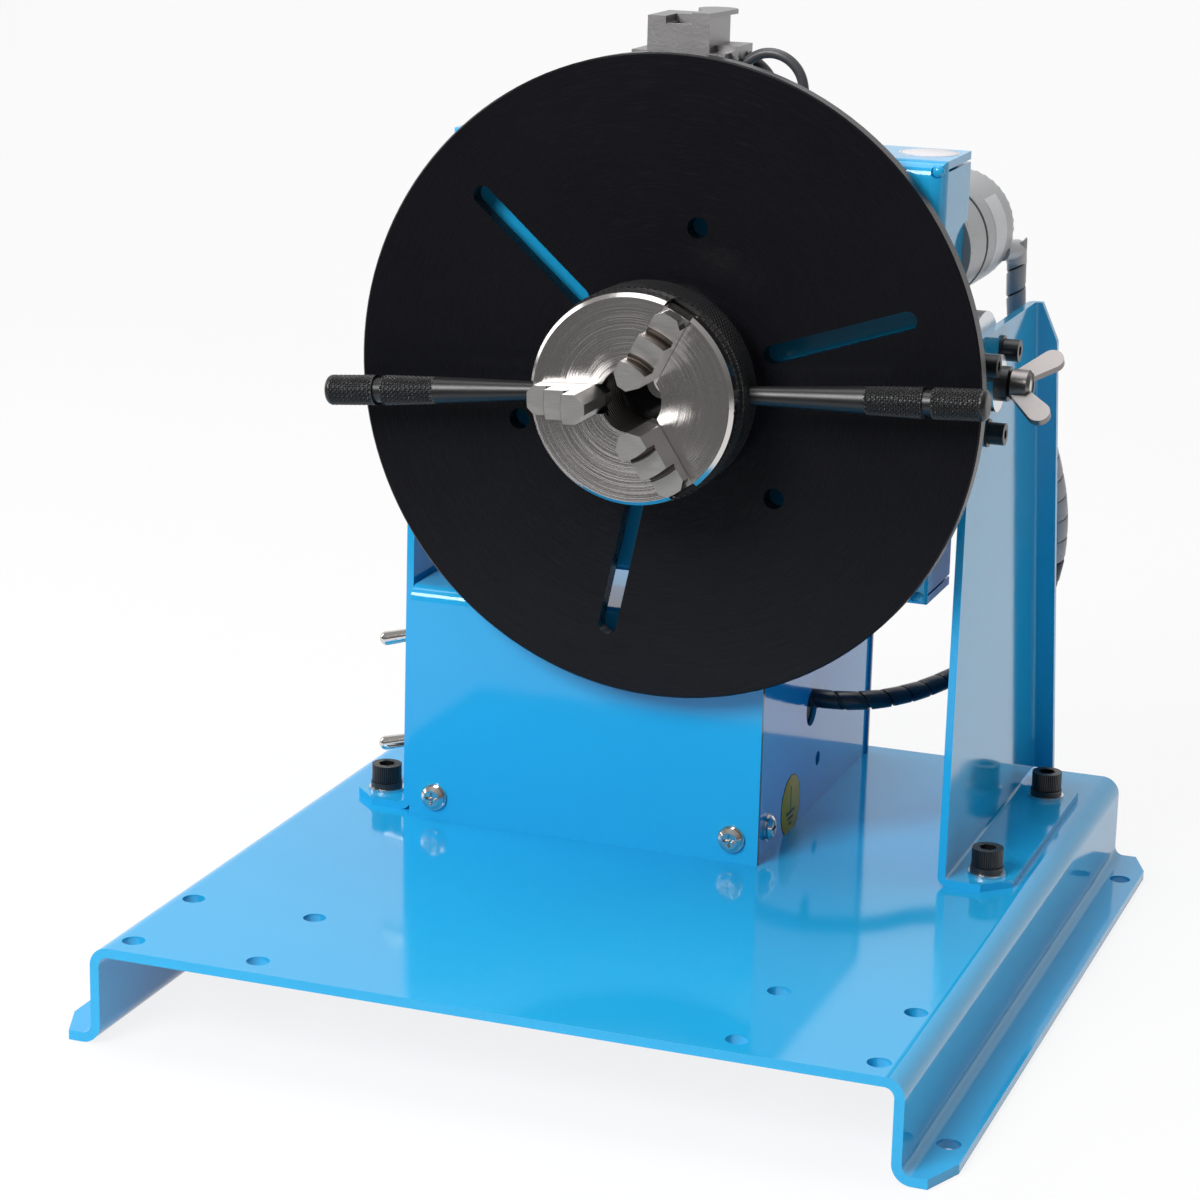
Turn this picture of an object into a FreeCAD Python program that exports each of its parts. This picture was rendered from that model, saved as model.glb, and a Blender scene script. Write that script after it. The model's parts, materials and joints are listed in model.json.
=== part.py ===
"""Bench welding positioner: a tilting, motor-driven turntable that carries a small three-jaw scroll chuck.

Frame: millimetres, +Z up, +X to the right, the table faces the front (-Y) with the tilt at 0 degrees.
The origin is on the bench, under the middle of the base.
"""
import FreeCAD, Part
import math
import os
import Sketcher

os.makedirs("parts", exist_ok=True)
doc = FreeCAD.newDocument("welding_positioner")
V = FreeCAD.Vector
Turn = FreeCAD.Rotation

# ---------------------------------------------------------------- driving dimensions
SIZES = {
    # bent-sheet base
    "base_width": 250, "base_depth": 285, "base_height": 31, "base_sheet": 3, "base_bend": 3,
    "foot_reach": 13, "foot_chamfer_x": 5.5, "foot_chamfer_y": 13.5, "foot_hole": 7,
    "foot_hole_inset": 6, "foot_hole_pitch": 235, "spare_hole": 7, "spare_near": 148, "spare_far": 230,
    "spare_front": 9, "spare_row": 39,
    # head: everything between the two brackets is centred on head_x
    "head_x": 3, "spindle_z": 188,
    # the tilt axis
    "pivot_y": 34.2, "pivot_z": 189.2,
    # brackets
    "bracket_sheet": 2.5, "bracket_bend": 1, "bracket_gap": 181.5, "bracket_front": 10,
    "bracket_lean": 3, "bracket_top": 205, "bracket_top_back": 96, "bracket_low_back": 135,
    "bracket_foot": 22.5, "bracket_foot_back": 114, "bracket_relief": 0.2, "bracket_flange": 9.6,
    "bracket_chamfer": 8.5, "flange_chamfer_x": 5, "flange_chamfer_z": 13, "bolt_in": 13.3,
    "bolt_front": 10.8, "bolt_pitch": 84,
    # panel window in the left bracket
    "window_front": 18, "window_back": 104, "window_low": 41, "window_high": 102, "window_round": 6,
    # M6 socket screws and their washers
    "bolt_thread": 6, "bolt_head": 10, "bolt_head_height": 6, "bolt_socket": 5, "bolt_spare": 2,
    "washer_wide": 12, "washer_thick": 1, "spring_wide": 10.6, "spring_thick": 2, "nut_flats": 10,
    "nut_thick": 5, "thread_gap": 0.3,
    # pivots
    "hub_wide": 44, "hub_thick": 5, "pivot_shaft": 12, "run_gap": 0.05, "side_gap": 0.25,
    "trunnion_flange": 34, "pivot_bore": 16, "stud": 6, "stud_length": 13, "lock_thick": 6,
    "hub_circle": 32, "hub_screw": 4, "hub_screw_head": 7, "hub_screw_socket": 3, "small_washer": 9,
    "small_washer_thick": 0.8, "small_spring": 7, "small_spring_thick": 1.1, "pan_head": 7.8,
    "pan_head_rim": 0.9, "pan_head_dome": 1, "cross_long": 4.2, "cross_wide": 0.9, "cross_deep": 1,
    "clamp_washer": 18, "clamp_washer_thick": 1.6, "clamp_spring": 11, "clamp_spring_thick": 3.2,
    # wing nut
    "wing_boss": 9.8, "wing_boss_edge": 1, "wing_boss_height": 7, "wing_reach": 10.4, "wing_rise": 11.3,
    "wing_pad": 3.6, "wing_root": 2.6, "wing_root_reach": 3.4, "wing_root_rise": 3.4, "wing_thick": 2.4,
    "wing_lean": 41,
    # tilting box
    "gear_room": 1.7, "head_room": 6.5, "left_room": 13.2, "right_room": 19.2, "pan_front": 5,
    "pan_depth": 32, "pan_sheet": 2.5, "pan_bend": 5, "pan_relief": 1.9, "pan_seam": 0.8,
    "cover_gap": 0.3, "cover_sheet": 2.5, "cover_inset": 0,
    # table
    "table_round": 202, "table_thick": 6, "table_face": 7, "table_edge": 0.5, "slot_wide": 6,
    "slot_inner": 37, "slot_outer": 81, "slot_angle": 18.5, "table_hole": 6.6, "table_circle": 99.4,
    "hole_angle": 78.5,
    # spindle, its bearings and the reduction gear
    "spindle_shaft": 18, "spindle_bore": 10, "spindle_flange": 46, "spindle_flange_thick": 4,
    "bearing_wide": 32, "bearing_flange": 42, "bearing_flange_thick": 3, "bearing_long": 12,
    "gear_module": 1.5, "gear_addendum": 0.85, "gear_teeth": 80, "pinion_teeth": 16, "gear_face": 5,
    "gear_start": 27, "gear_hub": 30, "gear_hub_long": 9, "gear_window": 24, "gear_angle": 31.5,
    "tooth_slack": 0.24,
    # geared motor
    "motor_round": 38, "motor_offset": 6.5, "gearbox_long": 22.5, "motor_seam": 1.4, "seam_deep": 1.5,
    "can_edge": 3, "gearbox_step": 0.6, "motor_long": 31, "elbow_start": 13, "elbow_x": 18.4,
    "elbow_low": 3, "elbow_out": 5.3, "elbow_sink": 2, "elbow_round": 7.6, "elbow_long": 8,
    "elbow_deep": 3.8, "motor_boss": 12, "motor_boss_long": 5, "motor_shaft": 6, "motor_socket": 6,
    # chuck, measured forward from the table face
    "chuck_round": 65, "chuck_back_round": 60, "chuck_back": 9, "scroll_round": 67,
    "scroll_thick": 12.4, "chuck_disc": 7.4, "disc_hole": 2.6, "disc_hole_deep": 4,
    "disc_hole_angle": -2, "disc_hole_up": 5, "chuck_bore": 20, "chuck_hub": 26.8, "chuck_edge": 1.2,
    "scroll_gap": 0.3, "scroll_pitch": 4, "scroll_ridge": 1.9, "scroll_deep": 2, "scroll_rim": 31,
    "jaw_wide": 9, "jaw_gap": 0.1, "jaw_tip": 8, "jaw_end": 31, "jaw_corner": 2.2, "jaw_undercut": 0.6,
    "jaw_step": 6, "jaw_steps": 3, "jaw_angle": 3, "jaw_tooth": 1.4, "jaw_rib": 1.1,
    "jaw_rib_high": 1.4, "jaw_low": 18, "jaw_nose": 3, "jaw_travel": 4, "scroll_wall_gap": 0.6,
    # tommy bars
    "bar_round": 5.8, "bar_taper": 8.6, "bar_grip": 9.6, "bar_grip_long": 37, "bar_reach": 106.5,
    "bar_socket": 9, "bar_angle": 3, "bar_spread": 182, "bar_groove": 2.7, "bar_groove_deep": 0.9,
    "bar_end": 19.3, "bar_edge": 1.6,
    # control box
    "box_left": 88.8, "box_width": 121.6, "box_front": 4.6, "box_depth": 130.5, "box_high": 79,
    "box_sheet": 1.5, "box_bend": 3, "box_lip": 12, "box_inset": 0.9, "box_screw_side": 9,
    "box_screw_up": 8, "earth_y": 16, "earth_up": 9.5, "cable_hole": 12.4, "cable_y": 63.5,
    "cable_up": 36.5, "cable_lift": 3.4, "grommet_round": 16, "grommet_thick": 4, "vent_hole": 5,
    "vent_y": 73, "vent_up": 16,
    # panel controls
    "panel_y": 30, "toggle_high": 58, "toggle_low": 21, "toggle_bush": 11, "toggle_bush_long": 5,
    "toggle_body": 14, "toggle_lever": 4.4, "toggle_reach": 23.6, "toggle_tip": 4.8,
    "toggle_pivot": 5.2, "toggle_tilt": 15, "knob_y": 74, "knob_up": 41, "knob_round": 24,
    "knob_high": 13, "pot_round": 20, "pot_long": 10, "pot_shaft": 6, "pot_shaft_long": 4,
    "pot_bush": 8, "knob_foot": 4, "knob_taper": 4, "knob_flute": 3, "knob_flutes": 12,
    "knob_skirt": 2.5,
    # ground brush unit on top of the tilting box
    "brush_shift": -2.4, "brush_body": 20, "brush_deep": 20, "brush_high": 10.6, "brush_front": 6,
    "brush_floor": 288, "brush_flange": 30, "brush_flange_thick": 7, "carbon": 8, "carbon_high": 4.4,
    "block_right": 17.4, "block_deep": 14, "block_high": 9, "brush_lid": 1.4, "brush_notch_left": 4.2,
    "brush_notch_wide": 8.4, "brush_notch_deep": 10, "brush_notch_low": 2.2, "brush_leg": 24,
    "brush_leg_sheet": 3, "lead": 3.2,
    # motor cable
    "cable": 5.2,
}
sheet = doc.addObject("Spreadsheet::Sheet", "sizes")
for row, (name, value) in enumerate(SIZES.items(), start=1):
    sheet.set(f"A{row}", name)
    sheet.set(f"B{row}", str(value))
    sheet.setAlias(f"B{row}", name)
doc.recompute()


def num(text):
    """The value of an expression of sheet names, in millimetres or degrees."""
    return float(sheet_value(text))


def bound(text):
    """An expression with each sheet name written as sizes.name."""
    out, word = "", ""
    for mark in str(text) + " ":
        if mark.isalnum() or mark in "_.":
            word += mark
            continue
        out += ("sizes." + word if word in SIZES else word) + mark
        word = ""
    return out.strip()


probe = doc.addObject("Part::Vertex", "probe")


def sheet_value(text):
    return probe.evalExpression(bound(text))


# ---------------------------------------------------------------- small builders
AXIS = {
    "z": Turn(),
    "-z": Turn(V(1, 0, 0), 180),
    "x": Turn(V(0, 1, 0), 90),
    "-x": Turn(V(0, 1, 0), -90),
    "y": Turn(V(1, 0, 0), -90),
    "-y": Turn(V(1, 0, 0), 90),
}
pieces = []


def place(item, at=(0, 0, 0), turn=None):
    """Put an object at three expressions, turned by a rotation."""
    item.Placement = FreeCAD.Placement(V(), turn or Turn())
    for letter, text in zip("xyz", at):
        item.setExpression(f"Placement.Base.{letter}", bound(text))
    return item


def make(kind, name, sizes, at=(0, 0, 0), turn=None):
    item = doc.addObject(kind, name)
    for key, text in sizes.items():
        item.setExpression(key, bound(text))
    return place(item, at, turn)


def rod(name, wide, long, at=(0, 0, 0), axis="z"):
    """A cylinder of a given diameter."""
    return make("Part::Cylinder", name, {"Radius": f"({wide}) / 2", "Height": long}, at, AXIS[axis])


def cone(name, wide, wide_end, long, at=(0, 0, 0), axis="z"):
    sizes = {"Radius1": f"({wide}) / 2", "Radius2": f"({wide_end}) / 2", "Height": long}
    return make("Part::Cone", name, sizes, at, AXIS[axis])


def block(name, long, deep, high, at=(0, 0, 0)):
    """A box from its low corner."""
    return make("Part::Box", name, {"Length": long, "Width": deep, "Height": high}, at)


def hexagon(name, flats, high, at=(0, 0, 0), axis="z"):
    item = make("Part::Prism", name, {"Circumradius": f"({flats}) / sqrt(3)", "Height": high}, at,
                AXIS[axis])
    item.Polygon = 6
    return item


def fuse(name, *items):
    item = doc.addObject("Part::MultiFuse", name)
    item.Shapes = list(items)
    item.Refine = True
    return item


def cut(name, base, *tools):
    item = doc.addObject("Part::Cut", name)
    item.Base = base
    item.Tool = tools[0] if len(tools) == 1 else fuse(name + "_tools", *tools)
    item.Refine = True
    return item


def group(name, *items):
    """Solids kept side by side as one sub-part."""
    item = doc.addObject("Part::Compound", name)
    item.Links = list(items)
    return item


def shape(name, form):
    """A Part::Feature that holds a shape made with Part's own functions."""
    item = doc.addObject("Part::Feature", name)
    item.Shape = form
    return item


def piece(item, label):
    """Name a finished sub-part, which is exported under that name."""
    item.Label = label
    pieces.append(item)
    return item


# ---------------------------------------------------------------- PartDesign helpers
def new_body(label):
    body = doc.addObject("PartDesign::Body", label)
    body.Label = label
    return body


def sketch(body, name, plane, offset="0"):
    """A sketch on one of the body's origin planes, moved along the plane's normal."""
    drawing = body.newObject("Sketcher::SketchObject", name)
    base = [item for item in body.Origin.OriginFeatures if item.Role == plane][0]
    drawing.AttachmentSupport = [(base, "")]
    drawing.MapMode = "FlatFace"
    drawing.setExpression("AttachmentOffset.Base.z", bound(offset))
    return drawing


def pin_point(drawing, index, end, across, up):
    """Tie one point of a sketch to two expressions."""
    for kind, text in (("DistanceX", across), ("DistanceY", up)):
        tie = Sketcher.Constraint(kind, -1, 1, index, end, num(text))
        drawing.setExpression(f"Constraints[{drawing.addConstraint(tie)}]", bound(text))


def outline(drawing, points):
    """A closed outline of straight edges through points given as expressions."""
    spots = [V(num(across), num(up), 0) for across, up in points]
    first = drawing.GeometryCount
    count = len(points)
    for k in range(count):
        drawing.addGeometry(Part.LineSegment(spots[k], spots[(k + 1) % count]))
    for k in range(count):
        drawing.addConstraint(Sketcher.Constraint("Coincident", first + k, 2, first + (k + 1) % count, 1))
    for k, (across, up) in enumerate(points):
        pin_point(drawing, first + k, 1, across, up)


def ring(drawing, across, up, wide):
    """A circle of a given diameter."""
    centre = V(num(across), num(up), 0)
    index = drawing.addGeometry(Part.Circle(centre, V(0, 0, 1), num(wide) / 2))
    pin_point(drawing, index, 3, across, up)
    tie = Sketcher.Constraint("Diameter", index, num(wide))
    drawing.setExpression(f"Constraints[{drawing.addConstraint(tie)}]", bound(wide))


def oblong(drawing, inner, outer, wide):
    """A slot with round ends, along the sketch's own X."""
    low, high, half = num(inner), num(outer), num(wide) / 2
    first = drawing.addGeometry(Part.LineSegment(V(low, half, 0), V(high, half, 0)))
    drawing.addGeometry(Part.ArcOfCircle(Part.Circle(V(high, 0, 0), V(0, 0, 1), half), -math.pi / 2,
                                         math.pi / 2))
    drawing.addGeometry(Part.LineSegment(V(high, -half, 0), V(low, -half, 0)))
    drawing.addGeometry(Part.ArcOfCircle(Part.Circle(V(low, 0, 0), V(0, 0, 1), half), math.pi / 2,
                                         3 * math.pi / 2))
    for a, a_end, b, b_end in ((0, 2, 1, 2), (1, 1, 2, 1), (2, 2, 3, 2), (3, 1, 0, 1)):
        drawing.addConstraint(Sketcher.Constraint("Tangent", first + a, a_end, first + b, b_end))
    pin_point(drawing, first + 1, 3, outer, "0")
    pin_point(drawing, first + 3, 3, inner, "0")
    tie = Sketcher.Constraint("Radius", first + 1, half)
    drawing.setExpression(f"Constraints[{drawing.addConstraint(tie)}]", bound(f"{wide} / 2"))


def pad(body, drawing, length, back=False, middle=False):
    item = body.newObject("PartDesign::Pad", drawing.Name + "_pad")
    item.Profile = drawing
    item.setExpression("Length", bound(length))
    item.Reversed = back
    if middle:
        item.SideType = "Symmetric"
    doc.recompute()
    return item


def pocket(body, drawing, length=None, back=False):
    """A cut of a given depth, or right through both ways where no depth is given."""
    item = body.newObject("PartDesign::Pocket", drawing.Name + "_cut")
    item.Profile = drawing
    if length is None:
        item.Type = "ThroughAll"
        item.SideType = "Symmetric"
    else:
        item.setExpression("Length", bound(length))
    item.Reversed = back
    before = body.Shape.Volume
    doc.recompute()
    if "Up-to-date" not in item.State or body.Shape.Volume > before - 1e-6:
        raise ValueError(f"{body.Label}: {drawing.Name} cuts nothing")
    return item


def edges(form, **where):
    """Names of straight edges whose middle lies at the given x, y or z and which run along the given axis."""
    found = []
    along = where.pop("along")
    for index, edge in enumerate(form.Edges, start=1):
        if edge.Curve.TypeId != "Part::GeomLine":
            continue
        run = edge.Vertexes[-1].Point - edge.Vertexes[0].Point
        middle = edge.CenterOfMass
        if abs(getattr(run, along)) < 0.9 * run.Length:
            continue
        if all(abs(getattr(middle, key) - value) < 0.05 for key, value in where.items()):
            found.append(f"Edge{index}")
    return found


def soften(body, kind, name, names, size):
    """A fillet or a chamfer on named edges."""
    if not names:
        raise ValueError(f"{body.Label}: no edge for {name}")
    before = body.Tip
    item = body.newObject(f"PartDesign::{kind}", name)
    item.Base = (before, names)
    item.setExpression("Radius" if kind == "Fillet" else "Size", bound(size))
    doc.recompute()
    return item


def pattern(body, item, count, name):
    """Repeat a feature around the body's own Z axis."""
    around = body.newObject("PartDesign::PolarPattern", name)
    around.Originals = [item]
    around.Axis = ([entry for entry in body.Origin.OriginFeatures if entry.Role == "Z_Axis"][0], [""])
    around.Angle = 360
    around.Occurrences = count
    body.Tip = around
    doc.recompute()
    return around


# ---------------------------------------------------------------- fasteners
def socket_screw(label, wide, head, head_high, socket, long, at, axis):
    """A socket head cap screw: its head sits on the given point and its axis points out of the head."""
    name = label + "_"
    body = fuse(name + "body", rod(name + "head", head, head_high),
                rod(name + "shank", wide, long, (0, 0, f"-({long})")))
    screw = cut(name + "screw", body,
                hexagon(name + "socket", socket, head_high, (0, 0, f"({head_high}) / 2")))
    return place(screw, at, AXIS[axis])


def washers(label, hole, stack, at, axis):
    """A stack of (diameter, thickness) washers, from the seat outwards."""
    name = label + "_"
    solids = []
    seat = "0"
    for k, (wide, thick) in enumerate(stack):
        disc = rod(f"{name}disc{k}", wide, thick, (0, 0, seat))
        solids.append(cut(f"{name}ring{k}", disc, rod(f"{name}hole{k}", hole, thick, (0, 0, seat))))
        seat = f"{seat} + {thick}"
    return place(group(name + "stack", *solids), at, AXIS[axis])


# ---------------------------------------------------------------- base plate
def base_plate():
    """One sheet bent twice at each side: a raised top, two walls and two feet."""
    body = new_body("base_plate")
    half, high, sheet_t = "base_width / 2", "base_height", "base_sheet"
    foot, inner = "(base_width / 2 + foot_reach)", "(base_width / 2 - base_sheet)"
    right = [(foot, "0"), (foot, sheet_t), (half, sheet_t), (half, high)]
    left = [(f"-{across}", up) for across, up in reversed(right)]
    under = [(f"-{inner}", "0"), (f"-{inner}", f"{high} - {sheet_t}"), (inner, f"{high} - {sheet_t}"),
             (inner, "0")]
    profile = sketch(body, "base_profile", "XZ_Plane")
    outline(profile, [(f"-({a[1:]})" if a.startswith("-") else a, b) for a, b in right + left + under])
    pad(body, profile, "base_depth", middle=True)

    side, wall = num("base_width / 2"), num("base_width / 2 - base_sheet")
    top, thick = num("base_height"), num("base_sheet")
    outer = edges(body.Shape, along="y", x=side, z=top) + edges(body.Shape, along="y", x=-side, z=top)
    outer += edges(body.Shape, along="y", x=wall, z=0) + edges(body.Shape, along="y", x=-wall, z=0)
    soften(body, "Fillet", "outer_bends", outer, "base_bend + base_sheet")
    inner_bends = edges(body.Shape, along="y", x=side, z=thick) + edges(body.Shape, along="y", x=-side,
                                                                        z=thick)
    inner_bends += edges(body.Shape, along="y", x=wall, z=top - thick)
    inner_bends += edges(body.Shape, along="y", x=-wall, z=top - thick)
    soften(body, "Fillet", "inner_bends", inner_bends, "base_bend")

    corners = sketch(body, "foot_corners", "XY_Plane")
    for a in ("-1 * ", "1 * "):
        for b in ("-1 * ", "1 * "):
            reach, end = f"{a}{foot}", f"{b}base_depth / 2"
            outline(corners, [(reach, end), (f"{reach} - {a}foot_chamfer_x", end),
                              (reach, f"{end} - {b}foot_chamfer_y")])
    pocket(body, corners)

    holes = sketch(body, "base_holes", "XY_Plane")
    for a in ("-1 * ", "1 * "):
        for b in ("-1 * ", "1 * "):
            ring(holes, f"{a}({foot} - foot_hole_inset)", f"{b}foot_hole_pitch / 2", "foot_hole")
        for across in ("spare_near", "spare_far"):
            for row_y in ("spare_front", "spare_front + spare_row"):
                ring(holes, f"{a}{across} / 2", f"{row_y} - base_depth / 2", "spare_hole")
        for bolt_y in BOLT_Y:
            ring(holes, f"head_x + {a}{BOLT_X}", bolt_y, "bolt_thread + thread_gap * 2")
    pocket(body, holes)
    piece(body, "base_plate")


GEAR_TIP = "(gear_module * (gear_teeth / 2 + gear_addendum))"
PAN_REACH = {-1: f"({GEAR_TIP} + pan_sheet + left_room)", 1: f"({GEAR_TIP} + pan_sheet + right_room)"}
PAN_LEFT = f"(head_x - {PAN_REACH[-1]})"
PAN_RIGHT = f"(head_x + {PAN_REACH[1]})"
PAN_LOW = f"(spindle_z - {GEAR_TIP} - gear_room - pan_sheet)"
PAN_HIGH = f"(spindle_z + {GEAR_TIP} + gear_room + pan_sheet + head_room)"

BOLT_X = "(bracket_gap / 2 + bolt_in)"
BOLT_Y = ("bracket_front + bolt_front", "bracket_front + bolt_front + bolt_pitch")


# ---------------------------------------------------------------- brackets
def bracket(side, label):
    """A bent side bracket: an upright plate, an outward foot and a slanted outward flange behind."""
    body = new_body(label)
    back = side < 0
    seat = f"head_x + {side} * bracket_gap / 2"
    floor, top = "base_height", "bracket_top"
    slope = "((bracket_low_back - bracket_top_back) / (bracket_top - base_height))"
    rise = "(bracket_bend + bracket_sheet + bracket_relief)"
    low = f"(base_height + {rise})"
    low_back = f"(bracket_low_back - {slope} * {rise})"
    strip = f"(bracket_sheet * sqrt(1 + {slope} ^ 2))"

    upright = sketch(body, label + "_upright", "YZ_Plane", seat)
    outline(upright,
            [("bracket_front", floor), ("bracket_front + bracket_lean", top), ("bracket_top_back", top),
                      (low_back, low), ("bracket_foot_back", low), ("bracket_foot_back", floor)])
    pad(body, upright, "bracket_sheet", back)
    foot = sketch(body, label + "_foot", "YZ_Plane", seat)
    outline(foot, [("bracket_front", floor), ("bracket_foot_back", floor),
                   ("bracket_foot_back", f"{floor} + bracket_sheet"), ("bracket_front",
                                                                       f"{floor} + bracket_sheet")])
    pad(body, foot, "bracket_foot", back)
    flange = sketch(body, label + "_flange", "YZ_Plane", seat)
    outline(flange, [(low_back, low), ("bracket_top_back", top), (f"bracket_top_back - {strip}", top),
                     (f"{low_back} - {strip}", low)])
    pad(body, flange, "bracket_flange", back)

    inner_x = num(seat)
    outer_x = inner_x + side * num("bracket_sheet")
    flat_z, slanted_y = num(floor), num(f"(bracket_top_back + {low_back}) / 2")
    bend = edges(body.Shape, along="y", x=inner_x, z=flat_z) + edges(body.Shape, along="z", x=inner_x,
                                                                     y=slanted_y)
    soften(body, "Fillet", label + "_bends", bend, "bracket_bend + bracket_sheet")
    inside = edges(body.Shape, along="y", x=outer_x, z=flat_z + num("bracket_sheet"))
    inside += edges(body.Shape, along="z", x=outer_x, y=slanted_y - num(strip))
    soften(body, "Fillet", label + "_inside", inside, "bracket_bend")
    foot_x = inner_x + side * num("bracket_foot")
    tip = edges(body.Shape, along="z", x=foot_x, y=num("bracket_front"))
    soften(body, "Chamfer", label + "_tip", tip, "bracket_chamfer")
    corner = sketch(body, label + "_corner", "XZ_Plane")
    flange_x = f"({seat} + {side} * bracket_flange)"
    outline(corner, [(flange_x, top), (f"{flange_x} - {side} * flange_chamfer_x", top),
                     (flange_x, f"{top} - flange_chamfer_z")])
    pocket(body, corner)

    bolts = sketch(body, label + "_bolt_holes", "XY_Plane", "base_height")
    for bolt_y in BOLT_Y:
        ring(bolts, f"head_x + {side} * {BOLT_X}", bolt_y, "bolt_thread + thread_gap * 2")
    pocket(body, bolts, "bracket_sheet * 2", back=True)
    pivot = sketch(body, label + "_pivot_holes", "YZ_Plane", seat)
    ring(pivot, "pivot_y", "pivot_z", "pivot_bore")
    for k in range(3):
        angle = math.radians(30 + 120 * k)
        ring(pivot, f"pivot_y + {math.cos(angle):.6f} * hub_circle / 2",
             f"pivot_z + {math.sin(angle):.6f} * hub_circle / 2", "hub_screw + thread_gap * 2")
    if side < 0:
        outline(pivot, [("window_front", "window_low"), ("window_back", "window_low"),
                        ("window_back", "window_high"), ("window_front", "window_high")])
    pocket(body, pivot)
    if side < 0:
        sharp = []
        for y in ("window_front", "window_back"):
            for z in ("window_low", "window_high"):
                sharp += edges(body.Shape, along="x", y=num(y), z=num(z))
        soften(body, "Fillet", label + "_window", sharp, "window_round")
    piece(body, label)


def bracket_fixings():
    """Four M6 socket screws with a flat and a spring washer above and a nut below the base top."""
    nuts = []
    for k, (side, bolt_y) in enumerate([(s, y) for s in (-1, 1) for y in BOLT_Y], start=1):
        x = f"head_x + {side} * {BOLT_X}"
        seat = "base_height + bracket_sheet"
        stack = [("washer_wide", "washer_thick"), ("spring_wide", "spring_thick")]
        label = f"bolt_washers_{k}"
        piece(washers(label, "bolt_thread + thread_gap", stack, (x, bolt_y, seat), "z"), label)
        head = f"{seat} + washer_thick + spring_thick"
        grip = "washer_thick + spring_thick + bracket_sheet + base_sheet + nut_thick + bolt_spare"
        label = f"bracket_bolt_{k}"
        bolt = socket_screw(label, "bolt_thread", "bolt_head", "bolt_head_height", "bolt_socket", grip,
                            (x, bolt_y, head), "z")
        piece(bolt, label)
        under = f"base_height - base_sheet - nut_thick"
        body = hexagon(f"nut{k}", "nut_flats", "nut_thick", (x, bolt_y, under))
        nuts.append(cut(f"nut_ring{k}", body,
                        rod(f"nut_hole{k}", "bolt_thread + run_gap * 2", "nut_thick", (x, bolt_y, under))))
    piece(group("nut_stack", *nuts), "base_nuts")


# ---------------------------------------------------------------- pivots
def pivots():
    """On each side: a hub screwed to the bracket, a trunnion on the tilting box, and what clamps it."""
    for side, label in ((-1, "left"), (1, "right")):
        axis = "x" if side > 0 else "-x"
        box_x = f"head_x + {side} * {PAN_REACH[side]}"
        space = f"(bracket_gap / 2 - {PAN_REACH[side]})"
        plate_in = f"head_x + {side} * bracket_gap / 2"
        plate_out = f"head_x + {side} * (bracket_gap / 2 + bracket_sheet)"
        bore = rod(f"hub_bore_{label}", "pivot_shaft + run_gap * 2", "hub_thick")
        taps = []
        for k in range(3):
            angle = math.radians(30 + 120 * k)
            spot = (f"{math.sin(angle) * -side:.6f} * hub_circle / 2",
                    f"{math.cos(angle):.6f} * hub_circle / 2", 0)
            taps.append(rod(f"hub_tap_{label}{k}", "hub_screw + run_gap * 2", "hub_thick", spot))
            place_at = (f"head_x + {side} * (bracket_gap / 2 + bracket_sheet)",
                        f"pivot_y + {math.cos(angle):.6f} * hub_circle / 2",
                        f"pivot_z + {math.sin(angle):.6f} * hub_circle / 2")
            HUB_SCREWS.append((side, label, k, place_at, axis))
        disc = cut(f"hub_disc_{label}", rod(f"hub_round_{label}", "hub_wide", "hub_thick"), bore, *taps)
        piece(place(disc, (f"{plate_in} - {side} * hub_thick", "pivot_y", "pivot_z"), AXIS[axis]),
              f"pivot_hub_{label}")

        plate = rod(f"trunnion_plate_{label}", "trunnion_flange", f"{space} - hub_thick - side_gap")
        journal = rod(f"journal_{label}", "pivot_shaft", f"{space} + bracket_sheet - side_gap")
        stud = rod(f"stud_{label}", "stud", f"{space} + bracket_sheet + stud_length")
        trunnion = fuse(f"trunnion_{label}_body", plate, journal, stud)
        piece(place(trunnion, (box_x, "pivot_y", "pivot_z"), AXIS[axis]), f"trunnion_{label}")

        stack = [("clamp_washer", "clamp_washer_thick"), ("clamp_washer", "clamp_washer_thick")]
        if side > 0:
            stack.append(("clamp_spring", "clamp_spring_thick"))
        name = f"clamp_washers_{label}"
        piece(washers(name, "stud + thread_gap * 2", stack, (plate_out, "pivot_y", "pivot_z"), axis), name)
    lock = hexagon("lock_hex", "nut_flats", "lock_thick")
    lock = cut("lock_nut_body", lock, rod("lock_bore", "stud + run_gap * 2", "lock_thick"))
    nut_x = "head_x - (bracket_gap / 2 + bracket_sheet + clamp_washer_thick * 2)"
    piece(place(lock, (nut_x, "pivot_y", "pivot_z"), AXIS["-x"]), "lock_nut")

    hidden = []
    rings = [("small_washer", "small_washer_thick"), ("small_spring", "small_spring_thick")]
    long = "small_washer_thick + small_spring_thick + bracket_sheet + hub_thick - run_gap * 10"
    for side, label, k, spot, axis in HUB_SCREWS:
        name = f"hub_screw_{label}_{k + 1}"
        stack = washers(name + "_rings", "hub_screw + thread_gap", rings, spot, axis)
        head_at = (f"{spot[0]} + {side} * (small_washer_thick + small_spring_thick)", spot[1], spot[2])
        screw = socket_screw(name + "_cap", "hub_screw", "hub_screw_head", "hub_screw",
                             "hub_screw_socket", long,
                             head_at, axis)
        if side < 0:
            hidden += [stack, screw]
            continue
        piece(group(name + "_set", stack, screw), name)
    piece(group("hub_screws_left_set", *hidden), "hub_screws_left")


HUB_SCREWS = []


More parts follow.
